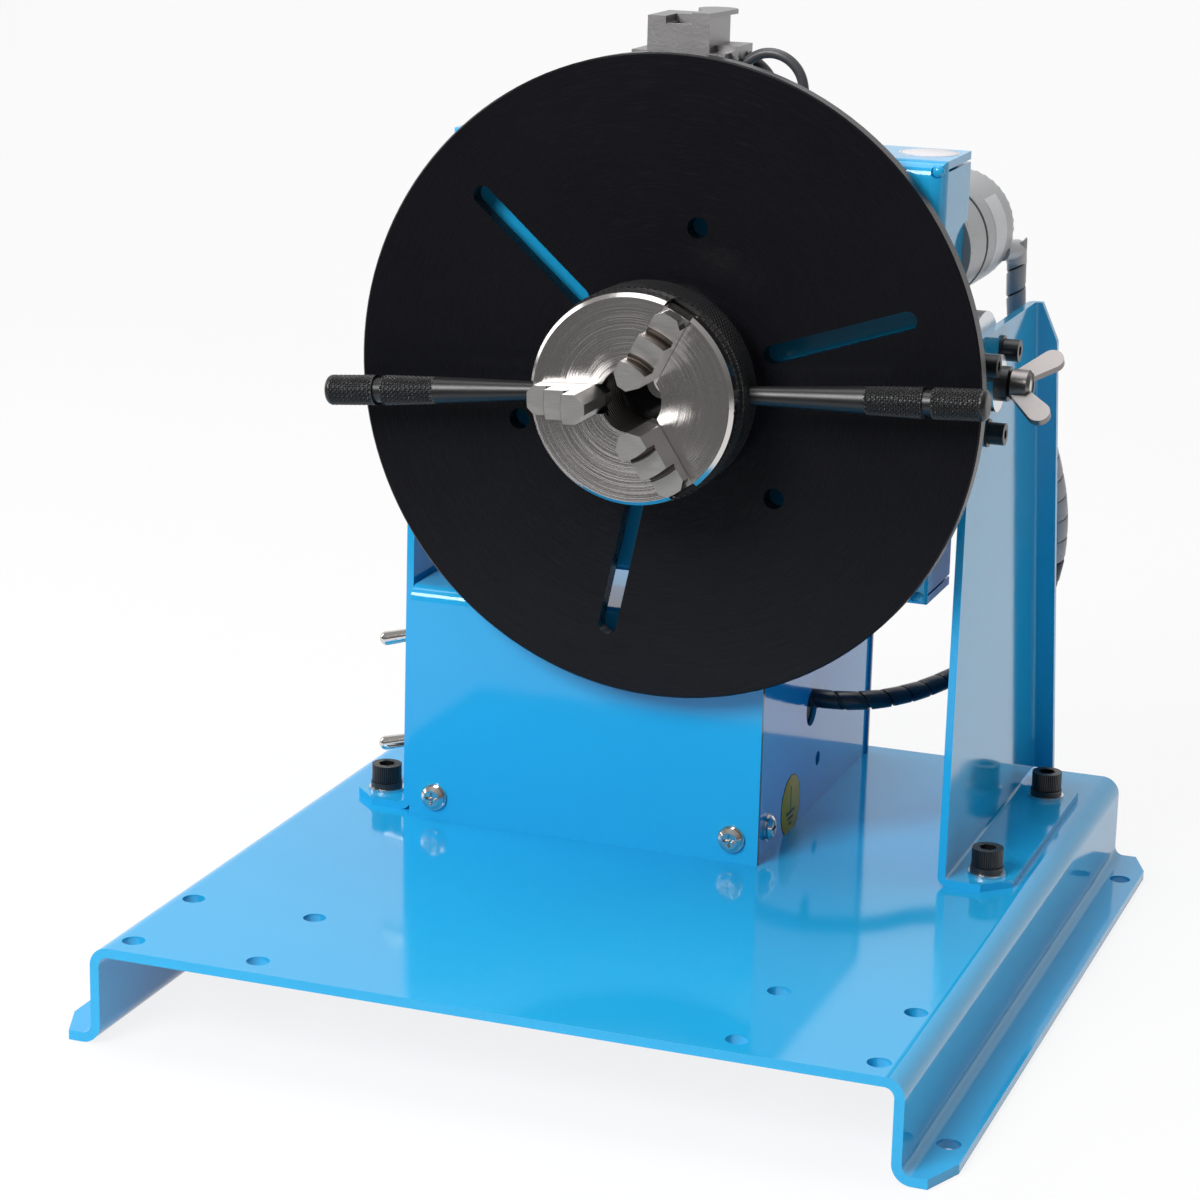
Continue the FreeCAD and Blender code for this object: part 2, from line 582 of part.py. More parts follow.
def wing_nut():
    """A wing nut: a barrel boss and two round-ended wings that flare outwards."""
    edge, high = "wing_boss_edge", "wing_boss_height"
    boss = fuse("wing_barrel", cone("wing_foot", f"wing_boss - {edge} * 2", "wing_boss", edge),
                rod("wing_middle", "wing_boss", f"{high} - {edge} * 2", (0, 0, edge)),
                cone("wing_crown", "wing_boss", f"wing_boss - {edge} * 2", edge,
                     (0, 0, f"{high} - {edge}")))
    wide, narrow = num("wing_pad"), num("wing_root")
    run, climb = num("wing_reach - wing_root_reach"), num("wing_rise - wing_root_rise")
    long, lean = math.hypot(run, climb), math.atan2(climb, run)
    swing = math.acos((narrow - wide) / long)
    wings = []
    for side in (-1, 1):
        corners = []
        for turn in (lean + swing, lean - swing):
            for across, up, radius in (("wing_root_reach", "wing_root_rise", narrow),
                                       ("wing_reach", "wing_rise", wide)):
                corners.append(V(side * (num(across) + radius * math.cos(turn)), 0,
                                 num(up) + radius * math.sin(turn)))
        corners = [corners[0], corners[1], corners[3], corners[2], corners[0]]
        arm = Part.Face(Part.makePolygon(corners)).extrude(V(0, num("wing_thick"), 0))
        arm.translate(V(0, -num("wing_thick / 2"), 0))
        wings.append(shape(f"wing_arm{side + 1}", arm))
        for name, across, up, radius in (("pad", "wing_reach", "wing_rise", "wing_pad"),
                                         ("root", "wing_root_reach", "wing_root_rise", "wing_root")):
            wings.append(rod(f"wing_{name}{side + 1}", f"{radius} * 2", "wing_thick",
                             (f"{side} * {across}", "wing_thick / 2", up), "-y"))
    body = fuse("wing_body", boss, *wings)
    bored = cut("wing_nut_body", body, rod("wing_bore", "stud + run_gap * 2", high))
    at = ("head_x + bracket_gap / 2 + bracket_sheet + clamp_washer_thick * 2 + clamp_spring_thick",
          "pivot_y", "pivot_z")
    lean = Turn(V(1, 0, 0), num("wing_lean"))
    piece(place(bored, at, lean.multiply(Turn(V(0, 1, 0), 90)).multiply(Turn(V(0, 0, 1), 90))), "wing_nut")


# ---------------------------------------------------------------- tilting box
def tilt_pan():
    """The tilting box: one sheet with four edges bent back, round reliefs at its corners and open seams."""
    body = new_body("tilt_pan")
    left, right, low, high = PAN_LEFT, PAN_RIGHT, PAN_LOW, PAN_HIGH
    front = sketch(body, "pan_outline", "XZ_Plane", "-pan_front")
    outline(front, [(left, low), (right, low), (right, high), (left, high)])
    pad(body, front, "pan_depth", back=True)
    rim = []
    for x in (left, right):
        rim += edges(body.Shape, along="z", x=num(x), y=num("pan_front"))
    for z in (low, high):
        rim += edges(body.Shape, along="x", z=num(z), y=num("pan_front"))
    soften(body, "Fillet", "pan_bends", rim, "pan_bend")
    inside = sketch(body, "pan_inside", "XZ_Plane", "-(pan_front + pan_sheet)")
    wall = "pan_sheet"
    outline(inside, [(f"{left} + {wall}", f"{low} + {wall}"), (f"{right} - {wall}", f"{low} + {wall}"),
                     (f"{right} - {wall}", f"{high} - {wall}"), (f"{left} + {wall}", f"{high} - {wall}")])
    pocket(body, inside, "pan_depth", back=False)
    seams = sketch(body, "pan_seams", "XZ_Plane", "-(pan_front + pan_bend)")
    for x, way in ((left, 1), (right, -1)):
        for z, up in ((low, 1), (high, -1)):
            seam, end = f"({z} + {up} * pan_sheet)", f"({x} + {way} * pan_sheet)"
            corners = [(x, seam), (end, seam), (end, f"{seam} + {up} * pan_seam"),
                       (x, f"{seam} + {up} * pan_seam")]
            outline(seams, corners)
    pocket(body, seams, "pan_depth", back=False)
    bores = sketch(body, "pan_bores", "XZ_Plane", "-pan_front")
    ring(bores, "head_x", "spindle_z", "bearing_wide + run_gap * 2")
    pocket(body, bores, "pan_sheet * 2", back=False)
    for k, (x, way) in enumerate(((left, 1), (right, -1))):
        for j, (z, up) in enumerate(((low, 1), (high, -1))):
            relief = sketch(body, f"relief{k}{j}", "XZ_Plane", "-pan_front")
            ring(relief, f"{x} + {way} * pan_sheet", f"{z} + {up} * (pan_sheet + pan_seam / 2)",
                 "pan_relief * 2")
            pocket(body, relief, "pan_bend + pan_sheet", back=False)
    piece(body, "tilt_pan")


GEAR_X = "(head_x + cos(gear_angle) * gear_module * (gear_teeth + pinion_teeth) / 2)"
GEAR_Z = "(spindle_z + sin(gear_angle) * gear_module * (gear_teeth + pinion_teeth) / 2)"
MOTOR_X = f"({GEAR_X} + cos(gear_angle) * motor_offset)"
MOTOR_Z = f"({GEAR_Z} + sin(gear_angle) * motor_offset)"
COVER_BACK = "(pan_front + pan_depth - cover_inset)"


def back_cover():
    """The plate that closes the tilting box and carries the motor and the rear spindle bearing."""
    body = new_body("back_cover")
    face = sketch(body, "cover_outline", "XZ_Plane", f"-({COVER_BACK} - cover_sheet)")
    inset = "(pan_sheet + cover_gap)"
    low, high = f"{PAN_LOW} + {inset}", f"{PAN_HIGH} - {inset}"
    left, right = f"{PAN_LEFT} + {inset}", f"{PAN_RIGHT} - {inset}"
    outline(face, [(left, low), (right, low), (right, high), (left, high)])
    pad(body, face, "cover_sheet", back=True)
    corners = []
    for x in (left, right):
        for z in (low, high):
            corners += edges(body.Shape, along="y", x=num(x), z=num(z))
    soften(body, "Fillet", "cover_corners", corners, "pan_sheet")
    bores = sketch(body, "cover_bores", "XZ_Plane", f"-({COVER_BACK} - cover_sheet)")
    ring(bores, "head_x", "spindle_z", "bearing_wide + run_gap * 2")
    ring(bores, GEAR_X, GEAR_Z, "motor_boss + run_gap * 2")
    pocket(body, bores)
    piece(body, "back_cover")


# ---------------------------------------------------------------- table and spindle
def on_spindle(item, label, turn=0):
    """Place a piece built along +Z so that its Z runs forward out of the table face."""
    spin = AXIS["-y"].multiply(Turn(V(0, 0, 1), turn))
    return piece(place(item, ("head_x", "-table_face", "spindle_z"), spin), label)


def table():
    """The turntable: a turned disc with three radial slots and three tapped holes."""
    body = new_body("table")
    disc = sketch(body, "table_disc", "XY_Plane")
    ring(disc, "0", "0", "table_round")
    pad(body, disc, "table_thick", back=True)
    rim = [f"Edge{k}" for k, edge in enumerate(body.Shape.Edges, start=1) if edge.Closed]
    soften(body, "Chamfer", "table_rim", rim, "table_edge")
    slot = sketch(body, "table_slot", "XY_Plane")
    oblong(slot, "slot_inner", "slot_outer", "slot_wide")
    slot.setExpression("AttachmentOffset.Rotation.Angle", bound("slot_angle"))
    cut_slot = pocket(body, slot)
    pattern(body, cut_slot, 3, "table_slots")
    hole = sketch(body, "table_hole", "XY_Plane")
    ring(hole, "table_circle / 2", "0", "table_hole")
    hole.setExpression("AttachmentOffset.Rotation.Angle", bound("hole_angle"))
    cut_hole = pocket(body, hole)
    pattern(body, cut_hole, 3, "table_holes")
    bore = sketch(body, "table_bore", "XY_Plane")
    ring(bore, "0", "0", "spindle_bore")
    pocket(body, bore)
    on_spindle(body, "table")


TABLE_BACK = "(table_thick - table_face)"
FLANGE_BACK = f"({TABLE_BACK} + spindle_flange_thick)"


def spindle():
    """The hollow spindle: a flange under the table and a shaft through both bearings."""
    long = f"({COVER_BACK} - {FLANGE_BACK} + 2)"
    solid = fuse("spindle_solid", rod("spindle_disc", "spindle_flange", "spindle_flange_thick"),
                 rod("spindle_rod", "spindle_shaft", f"{long} + spindle_flange_thick"))
    bored = cut("spindle_bored", solid,
                rod("spindle_hole", "spindle_bore", f"{long} + spindle_flange_thick"))
    piece(place(bored, ("head_x", TABLE_BACK, "spindle_z"), AXIS["y"]), "spindle")


def bearings():
    """Two flanged bushes: one in the front sheet of the tilting box, one in its back cover."""
    for label, seat, axis in (("front", "pan_front", "y"), ("rear", COVER_BACK, "-y")):
        sleeve = rod(f"bearing_sleeve_{label}", "bearing_wide", "bearing_long")
        depth = "pan_sheet" if label == "front" else "cover_sheet"
        collar = rod(f"bearing_collar_{label}", "bearing_flange", "bearing_flange_thick", (0, 0, depth))
        if label == "rear":
            sleeve.setExpression("Height", bound("cover_sheet + bearing_flange_thick"))
        bore = rod(f"bearing_bore_{label}", "spindle_shaft + run_gap * 2", "bearing_long")
        body = cut(f"bearing_cut_{label}", fuse(f"bearing_solid_{label}", sleeve, collar), bore)
        piece(place(body, ("head_x", seat, "spindle_z"), AXIS[axis]), f"bearing_{label}")


def gear_outline(teeth, slack):
    """The outline of a spur gear with one tooth centred on +X, as a closed wire of short edges."""
    module = num("gear_module")
    pitch = module * teeth / 2
    base = pitch * math.cos(math.radians(20))
    tip, root = pitch + num("gear_addendum") * module, pitch - 1.15 * module

    def spread(angle):
        return math.tan(angle) - angle

    half = math.pi / (2 * teeth) - slack / (2 * pitch) + spread(math.radians(20))
    flank = []
    for k in range(4):
        radius = max(root, base) + (tip - max(root, base)) * k / 3
        angle = half - spread(math.acos(min(1, base / radius)))
        flank.append((radius, angle))
    if root < base:
        flank.insert(0, (root, flank[0][1]))
    points = []
    for k in range(teeth):
        middle = 2 * math.pi * k / teeth
        points += [(radius, middle - angle) for radius, angle in flank]
        points += [(radius, middle + angle) for radius, angle in reversed(flank)]
    spots = [V(radius * math.cos(angle), radius * math.sin(angle), 0) for radius, angle in points]
    return Part.makePolygon(spots + spots[:1])


def gear_train():
    """The spindle gear, bored and windowed, and the motor pinion on its shaft."""
    wide = Part.Face(gear_outline(int(num("gear_teeth")), num("tooth_slack")))
    gear = wide.extrude(V(0, 0, num("gear_face")))
    hub = Part.makeCylinder(num("gear_hub / 2"), num("gear_hub_long"))
    gear = gear.fuse(hub)
    gear = gear.cut(Part.makeCylinder(num("spindle_shaft / 2 + run_gap"), num("gear_hub_long")))
    middle = (num("gear_hub") / 2 + num("gear_module * (gear_teeth - 5) / 2")) / 2
    for k in range(6):
        angle = math.radians(60 * k)
        gear = gear.cut(Part.makeCylinder(num("gear_window / 2"), num("gear_face"),
                                          V(middle * math.cos(angle), middle * math.sin(angle), 0)))
    turn = num("gear_angle") + 180 / num("gear_teeth")
    wheel = shape("gear_wheel", gear)
    place(wheel, ("head_x", "gear_start", "spindle_z"), Turn(V(0, 1, 0), -turn).multiply(AXIS["-y"]))
    piece(wheel, "spindle_gear")

    small = Part.Face(gear_outline(int(num("pinion_teeth")), num("tooth_slack")))
    pinion = small.extrude(V(0, 0, num("gear_face + 1")))
    pinion.translate(V(0, 0, -0.5))
    reach = num(f"{COVER_BACK} + motor_socket - gear_start + gear_face")
    shaft = Part.makeCylinder(num("motor_shaft / 2"), reach, V(0, 0, num("gear_face + 1.5")), V(0, 0, -1))
    wheel = shape("pinion_wheel", pinion.fuse(shaft))
    turn = num("gear_angle")
    place(wheel, (GEAR_X, "gear_start", GEAR_Z), Turn(V(0, 1, 0), -turn).multiply(AXIS["-y"]))
    piece(wheel, "motor_pinion")


def motor():
    """The geared motor on the back cover: gearbox, dark seam ring and can with a domed end."""
    boss = rod("gearbox_boss", "motor_boss", "motor_boss_long",
               ("-cos(gear_angle) * motor_offset", "sin(gear_angle) * motor_offset", "-motor_boss_long"))
    drum = rod("gearbox_drum", "motor_round - gearbox_step", "gearbox_long")
    bore = rod("gearbox_bore", "motor_shaft + run_gap * 2", "motor_boss_long + motor_socket + run_gap * 4",
               ("-cos(gear_angle) * motor_offset", "sin(gear_angle) * motor_offset", "-motor_boss_long"))
    gearbox = cut("gearbox_cut", fuse("gearbox_solid", drum, boss), bore)
    piece(place(gearbox, (MOTOR_X, COVER_BACK, MOTOR_Z), AXIS["y"]), "motor_gearbox")

    body = new_body("can_shell")
    can = sketch(body, "can_outline", "XY_Plane")
    ring(can, "0", "0", "motor_round")
    pad(body, can, "motor_long")
    ends = [f"Edge{k}" for k, edge in enumerate(body.Shape.Edges, start=1)
            if edge.Closed and edge.CenterOfMass.z > num("motor_long") - 0.1]
    soften(body, "Fillet", "can_end", ends, "can_edge")
    neck = sketch(body, "can_neck", "XY_Plane")
    ring(neck, "0", "0", "motor_round - seam_deep * 2")
    pad(body, neck, "motor_seam", back=True)
    arm = V(num("elbow_x - elbow_start"), num("elbow_low"), num("elbow_out + elbow_sink"))
    reach = rod("elbow_arm", "elbow_round - gearbox_step", str(round(arm.Length, 3)),
                ("elbow_start", 0, "motor_long - elbow_sink"))
    reach.Placement.Rotation = Turn(V(0, 0, 1), arm)
    knee = ("elbow_x", "elbow_low", "motor_long + elbow_out")
    ball = make("Part::Sphere", "elbow_ball", {"Radius": "elbow_round / 2"}, knee)
    drop = rod("elbow_drop", "elbow_round", "elbow_long", knee, "y")
    way = rod("elbow_way", "cable + thread_gap * 2", "elbow_deep",
              ("elbow_x", "elbow_low + elbow_long - elbow_deep",
                                                                "motor_long + elbow_out"), "y")
    can = cut("can_cut", fuse("can_solid", body, reach, ball, drop), way)
    piece(place(can, (MOTOR_X, f"{COVER_BACK} + gearbox_long + motor_seam", MOTOR_Z), AXIS["y"]),
          "motor_can")


# ---------------------------------------------------------------- chuck
DISC_START = "(chuck_back + scroll_gap + scroll_thick + scroll_gap)"
CHUCK_FACE = f"({DISC_START} + chuck_disc)"
JAW_FLOOR = f"({DISC_START} + 2)"


def chuck_back_plate():
    disc = rod("back_disc", "chuck_back_round", "chuck_back")
    body = cut("back_plate_cut", disc, rod("back_bore", "chuck_bore", "chuck_back"))
    on_spindle(body, "chuck_back_plate")


def chuck_body():
    """The steel body: a hub on the back plate and a slotted face disc with guide grooves."""
    hub = rod("chuck_hub_rod", "chuck_hub", f"{CHUCK_FACE} - chuck_back", (0, 0, "chuck_back"))
    disc = rod("chuck_disc_rod", "chuck_round", "chuck_disc", (0, 0, DISC_START))
    edge = doc.addObject("Part::Chamfer", "chuck_rim")
    doc.recompute()
    edge.Base = disc
    front = [k for k, item in enumerate(disc.Shape.Edges, start=1)
             if item.Closed and item.CenterOfMass.z > num(CHUCK_FACE) - 0.1]
    edge.Edges = [(k, num("chuck_edge"), num("chuck_edge")) for k in front]
    tools = [rod("chuck_bore_rod", "chuck_bore", CHUCK_FACE, (0, 0, "0"))]
    wide = "(jaw_wide + jaw_gap * 2)"
    groove = f"({wide} + jaw_rib * 2 + jaw_gap)"
    middle = f"({DISC_START} + chuck_disc / 2)"
    for k in range(3):
        turn = Turn(V(0, 0, 1), 180 + num("jaw_angle") + 120 * k)
        slot = block(f"jaw_slot{k}", "chuck_round", wide, f"{CHUCK_FACE} - {JAW_FLOOR} + 1")
        deep = block(f"jaw_deep{k}", "chuck_round", wide, "chuck_disc + 1")
        side = block(f"jaw_groove{k}", "chuck_round", groove, "jaw_rib_high + jaw_gap * 2")
        at = ((slot, "0", wide, JAW_FLOOR), (deep, "chuck_hub / 2", wide, f"{DISC_START} - 0.5"),
              (side, "0", groove, f"{middle} - jaw_rib_high / 2 - jaw_gap"))
        for item, start, across, up in at:
            angle = f"(180 + jaw_angle + {120 * k})"
            across = f"({across} / 2)"
            place(item, (f"({start}) * cos({angle}) + {across} * sin({angle})",
                         f"({start}) * sin({angle}) - {across} * cos({angle})", up), turn)
            tools.append(item)
    side_hole = rod("disc_hole_rod", "disc_hole", "disc_hole_deep + 1")
    far = "(chuck_round / 2 - disc_hole_deep)"
    place(side_hole,
          (f"{far} * cos(disc_hole_angle)", f"{far} * sin(disc_hole_angle)",
           f"{DISC_START} + disc_hole_up"),
          Turn(V(0, 0, 1), num("disc_hole_angle")).multiply(AXIS["x"]))
    tools.append(side_hole)
    body = cut("chuck_body_cut", fuse("chuck_solid", hub, edge), *tools)
    on_spindle(body, "chuck_body")


def spiral_band(inner, outer, pitch, ridge):
    """The outline of an Archimedean ridge that starts at radius inner and grows by one pitch a turn."""
    turns = (outer - inner) / pitch
    count = int(turns * 16)

    def curve(extra):
        spots = []
        for k in range(count + 1):
            angle = 2 * math.pi * turns * k / count
            radius = inner + pitch * angle / (2 * math.pi) + extra
            spots.append(V(radius * math.cos(angle), radius * math.sin(angle), 0))
        line = Part.BSplineCurve()
        line.interpolate(spots)
        return line.toShape(), spots

    low, low_spots = curve(-ridge / 2)
    high, high_spots = curve(ridge / 2)
    ends = [Part.makeLine(low_spots[0], high_spots[0]), Part.makeLine(low_spots[-1], high_spots[-1])]
    return Part.Wire(Part.__sortEdges__([low, high] + ends))


SCROLL_START = 15.2


def scroll_ring():
    """The knurled scroll ring: an annulus with a spiral ridge on its front face and two sockets for bars."""
    back = num("chuck_back + scroll_gap")
    thick, deep = num("scroll_thick"), num("scroll_deep")
    inner, rim = num("chuck_hub / 2 + run_gap"), num("scroll_round / 2")
    plate = Part.makeCylinder(rim, thick - deep, V(0, 0, back))
    wall = Part.makeCylinder(rim, thick,
                             V(0, 0,
                               back)).cut(Part.makeCylinder(num("scroll_rim + scroll_wall_gap"), thick,
                                                            V(0, 0, back)))
    band = Part.Face(spiral_band(SCROLL_START, num("scroll_rim") - 1.2, num("scroll_pitch"),
                                 num("scroll_ridge")))
    ridge = band.extrude(V(0, 0, deep + 0.5))
    ridge.translate(V(0, 0, back + thick - deep - 0.5))
    body = plate.fuse(wall).fuse(ridge)
    body = body.cut(Part.makeCylinder(inner, thick, V(0, 0, back)))
    for turn in BAR_TURNS:
        angle = math.radians(turn)
        way = V(math.cos(angle), math.sin(angle), 0)
        start = way * (rim - num("bar_socket"))
        hole = Part.makeCylinder(num("bar_round / 2 + run_gap"), num("bar_socket + 2"),
                                 V(start.x, start.y, BAR_UP), way)
        body = body.cut(hole)
    on_spindle(shape("scroll_body", body.removeSplitter()), "scroll_ring")


BAR_TURNS = (num("bar_angle"), num("bar_angle + bar_spread"))
BAR_UP = num("chuck_back + scroll_gap + (scroll_thick - scroll_deep) / 2")


def jaw(index):
    """A stepped jaw: ribs in the guide grooves and curved teeth in the scroll's spiral groove."""
    tip, end, wide = num("jaw_tip"), num("jaw_end"), num("jaw_wide")
    floor, start, face = num(JAW_FLOOR) + 0.1, num(DISC_START) + 0.1, num(CHUCK_FACE)
    step, steps = num("jaw_step"), int(num("jaw_steps"))
    body = Part.makeBox(end - tip, wide, face - floor, V(tip, -wide / 2, floor))
    body = body.fuse(Part.makeBox(end - num("jaw_low"), wide, face - start,
                                  V(num("jaw_low"), -wide / 2, start)))
    for k in range(steps):
        reach = end - (end - tip) * k / steps
        riser = Part.makeCylinder(reach, step * (k + 1), V(0, 0, face))
        slab = Part.makeBox(end - tip, wide, step * (k + 1), V(tip, -wide / 2, face))
        body = body.fuse(slab.common(riser))
    nose = num("jaw_nose")
    flat = Part.makePolygon([V(tip, -wide / 2 - 1, 0), V(tip + nose, -wide / 2 - 1, 0),
                             V(tip + nose, -wide / 2, 0),
                             V(tip, -nose / 2, 0), V(tip, -wide / 2 - 1, 0)])
    corner = Part.Face(flat).extrude(V(0, 0, face + step * steps))
    body = body.cut(corner).cut(corner.mirror(V(), V(0, 1, 0)))
    bevel, high = num("jaw_corner"), face + step * steps
    flat = Part.makePolygon([V(end + 1, wide / 2 + 1, face), V(end - bevel, wide / 2 + 1, face),
                             V(end - bevel, wide / 2, face),
                             V(end, wide / 2 - bevel, face), V(end + 1, wide / 2 - bevel,
                                                               face), V(end + 1, wide / 2 + 1, face)])
    corner = Part.Face(flat).extrude(V(0, 0, high - face))
    body = body.cut(corner).cut(corner.mirror(V(), V(0, 1, 0)))
    under = num("jaw_undercut")
    for k in range(1, steps):
        reach, seat = end - (end - tip) * k / steps, face + step * k
        groove = Part.makeCylinder(reach + under, under, V(0, 0, seat - under))
        body = body.cut(groove.cut(Part.makeCylinder(reach, under, V(0, 0, seat - under))))
    middle = num(f"{DISC_START} + chuck_disc / 2")
    high, rib = num("jaw_rib_high"), num("jaw_rib")
    body = body.fuse(Part.makeBox(end - tip - 6, wide + 2 * rib, high,
                                  V(tip + 5, -wide / 2 - rib, middle - high / 2)))
    pitch, tooth = num("scroll_pitch"), num("jaw_tooth")
    groove = num("chuck_back + scroll_gap + scroll_thick - scroll_deep")
    turn = (180 + num("jaw_angle") + 120 * index) % 360
    radius = SCROLL_START + pitch * (turn / 360 + 0.5)
    while radius + tooth / 2 + num("jaw_travel") < num("scroll_rim + scroll_wall_gap"):
        if radius - tooth / 2 > num("jaw_low"):
            curl = Part.makeCylinder(radius + tooth / 2, start - groove, V(0, 0, groove + 0.2))
            curl = curl.cut(Part.makeCylinder(radius - tooth / 2, start - groove + 1, V(0, 0, groove)))
            curl = curl.common(Part.makeBox(end, wide - 1, 40, V(0, 0.5 - wide / 2, 0)))
            body = body.fuse(curl)
        radius += pitch
    on_spindle(shape(f"jaw_body{index}", body.removeSplitter()), f"jaw_{index + 1}", turn)


def tommy_bar(turn, label):
    """A tommy bar: a smooth shank, a wider knurled grip with a turned groove and a rounded end."""
    body = new_body(label)
    half = sketch(body, label + "_profile", "XZ_Plane")
    reach, grip = "bar_reach", "(bar_reach - bar_grip_long)"
    shank, wide, thick = "bar_round / 2", "bar_taper / 2", "bar_grip / 2"
    groove = "(bar_reach - bar_end)"
    first = "scroll_round / 2 - bar_socket + 0.3"
    outline(half,
            [(first, "0"), (reach, "0"), (reach, f"{thick} - bar_edge"), (f"{reach} - bar_edge", thick),
                   (f"{groove} + bar_groove", thick), (f"{groove} + bar_groove",
                                                       f"{thick} - bar_groove_deep"),
                   (groove, f"{thick} - bar_groove_deep"), (groove, thick), (grip, wide),
                   ("scroll_round / 2 + 1", shank), (first, shank)])
    item = body.newObject("PartDesign::Revolution", label + "_turned")
    item.Profile = half
    item.ReferenceAxis = (half, ["H_Axis"])
    item.Angle = 360
    doc.recompute()
    spin = AXIS["-y"].multiply(Turn(V(0, 0, 1), turn))
    at = ("head_x", f"-table_face - {BAR_UP}", "spindle_z")
    piece(place(body, at, spin), label)


# ---------------------------------------------------------------- control box
BOX_L = "(head_x - box_left)"
BOX_R = f"({BOX_L} + box_width)"
BOX_B = "(box_front + box_depth)"
BOX_T = "(base_height + box_high)"


def box_chassis():
    """The chassis: a floor and two side panels bent up from one sheet, with lips that take the cover screws."""
    body = new_body("box_chassis")
    left, right = f"({BOX_L} + box_inset)", f"({BOX_R} - box_inset)"
    top, thick = f"({BOX_T} - box_sheet - 0.2)", "box_sheet"
    start = "(box_front + box_sheet + 0.1)"
    long = f"({BOX_B} - box_sheet - 0.1 - {start})"
    tray = sketch(body, "chassis_profile", "XZ_Plane", f"-{start}")
    outline(tray, [(left, "base_height"), (right, "base_height"), (right, top), (f"{right} - {thick}", top),
                   (f"{right} - {thick}", f"base_height + {thick}"), (f"{left} + {thick}",
                                                                      f"base_height + {thick}"),
                   (f"{left} + {thick}", top), (left, top)])
    pad(body, tray, long, back=True)
    lips = sketch(body, "chassis_lips", "XZ_Plane", f"-{start}")
    outline(lips, [(left, "base_height"), (right, "base_height"), (right, "base_height + box_lip"),
                   (left, "base_height + box_lip")])
    pad(body, lips, thick, back=True)
    corners = []
    for y in (start, f"{start} + {long}"):
        for x in (f"{left} + {thick} / 2", f"{right} - {thick} / 2"):
            corners += edges(body.Shape, along="x", x=num(x), y=num(y), z=num(top))
    soften(body, "Fillet", "chassis_corners", corners, "box_bend + 0.4")
    threads = sketch(body, "chassis_threads", "XZ_Plane", f"-{start}")
    for x in (f"{BOX_L} + box_screw_side", f"{BOX_R} - box_screw_side"):
        ring(threads, x, "base_height + box_screw_up", "hub_screw + run_gap * 2")
    pocket(body, threads, "box_sheet * 2", back=False)
    side = sketch(body, "right_holes", "YZ_Plane", right)
    ring(side, "cable_y", "base_height + cable_up", "cable_hole")
    ring(side, "vent_y", "base_height + vent_up", "vent_hole")
    ring(side, "earth_y", "base_height + earth_up", "hub_screw + run_gap * 2")
    pocket(body, side, "box_sheet * 2", back=False)
    panel = sketch(body, "panel_holes", "YZ_Plane", left)
    for up in ("toggle_high", "toggle_low"):
        ring(panel, "panel_y", f"base_height + {up}", "toggle_bush + run_gap * 4")
    ring(panel, "knob_y", "base_height + knob_up", "pot_bush + run_gap * 4")
    pocket(body, panel, "box_sheet * 2", back=True)
    piece(body, "box_chassis")


def box_cover():
    """The cover: front, top and back bent from one sheet over the chassis."""
    body = new_body("box_cover")
    thick, top = "box_sheet", BOX_T
    bend = sketch(body, "cover_profile", "YZ_Plane", BOX_L)
    outline(bend, [("box_front", "base_height"), ("box_front", top), (BOX_B, top), (BOX_B, "base_height"),
                   (f"{BOX_B} - {thick}", "base_height"), (f"{BOX_B} - {thick}", f"{top} - {thick}"),
                   (f"box_front + {thick}", f"{top} - {thick}"), (f"box_front + {thick}", "base_height")])
    pad(body, bend, "box_width")
    high = num(top)
    outer = edges(body.Shape, along="x", y=num("box_front"), z=high) + edges(body.Shape, along="x",
                                                                             y=num(BOX_B), z=high)
    soften(body, "Fillet", "cover_bends", outer, "box_bend + box_sheet")
    low = high - num(thick)
    inner = edges(body.Shape, along="x", y=num(f"box_front + {thick}"), z=low)
    inner += edges(body.Shape, along="x", y=num(f"{BOX_B} - {thick}"), z=low)
    soften(body, "Fillet", "cover_insides", inner, "box_bend")
    holes = sketch(body, "cover_holes", "XZ_Plane", "-box_front")
    for x in (f"{BOX_L} + box_screw_side", f"{BOX_R} - box_screw_side"):
        ring(holes, x, "base_height + box_screw_up", "hub_screw + thread_gap * 2")
    pocket(body, holes, "box_sheet * 2", back=False)
    piece(body, "box_cover")


def pan_screw(label, at, axis, long):
    """A pan head screw with a cross recess and a plain washer."""
    name = label + "_"
    head = fuse(name + "head", rod(name + "rim", "pan_head", "pan_head_rim", (0, 0, "small_washer_thick")),
                cone(name + "dome", "pan_head", "pan_head - pan_head_dome * 2.4", "pan_head_dome",
                     (0, 0, "small_washer_thick + pan_head_rim")))
    shank = rod(name + "shank", "hub_screw", f"{long} + small_washer_thick", (0, 0, f"-({long})"))
    floor = "small_washer_thick + pan_head_rim - cross_deep / 2"
    cross = fuse(name + "cross",
                 block(name + "bar_a", "cross_long", "cross_wide", "pan_head_dome + cross_deep",
                       ("-cross_long / 2", "-cross_wide / 2", floor)),
                 block(name + "bar_b", "cross_wide", "cross_long", "pan_head_dome + cross_deep",
                       ("-cross_wide / 2", "-cross_long / 2", floor)))
    plate = rod(name + "plate", "small_washer", "small_washer_thick")
    screw = cut(name + "screw", fuse(name + "solid", head, shank, plate), cross)
    piece(place(screw, at, AXIS[axis]), label)


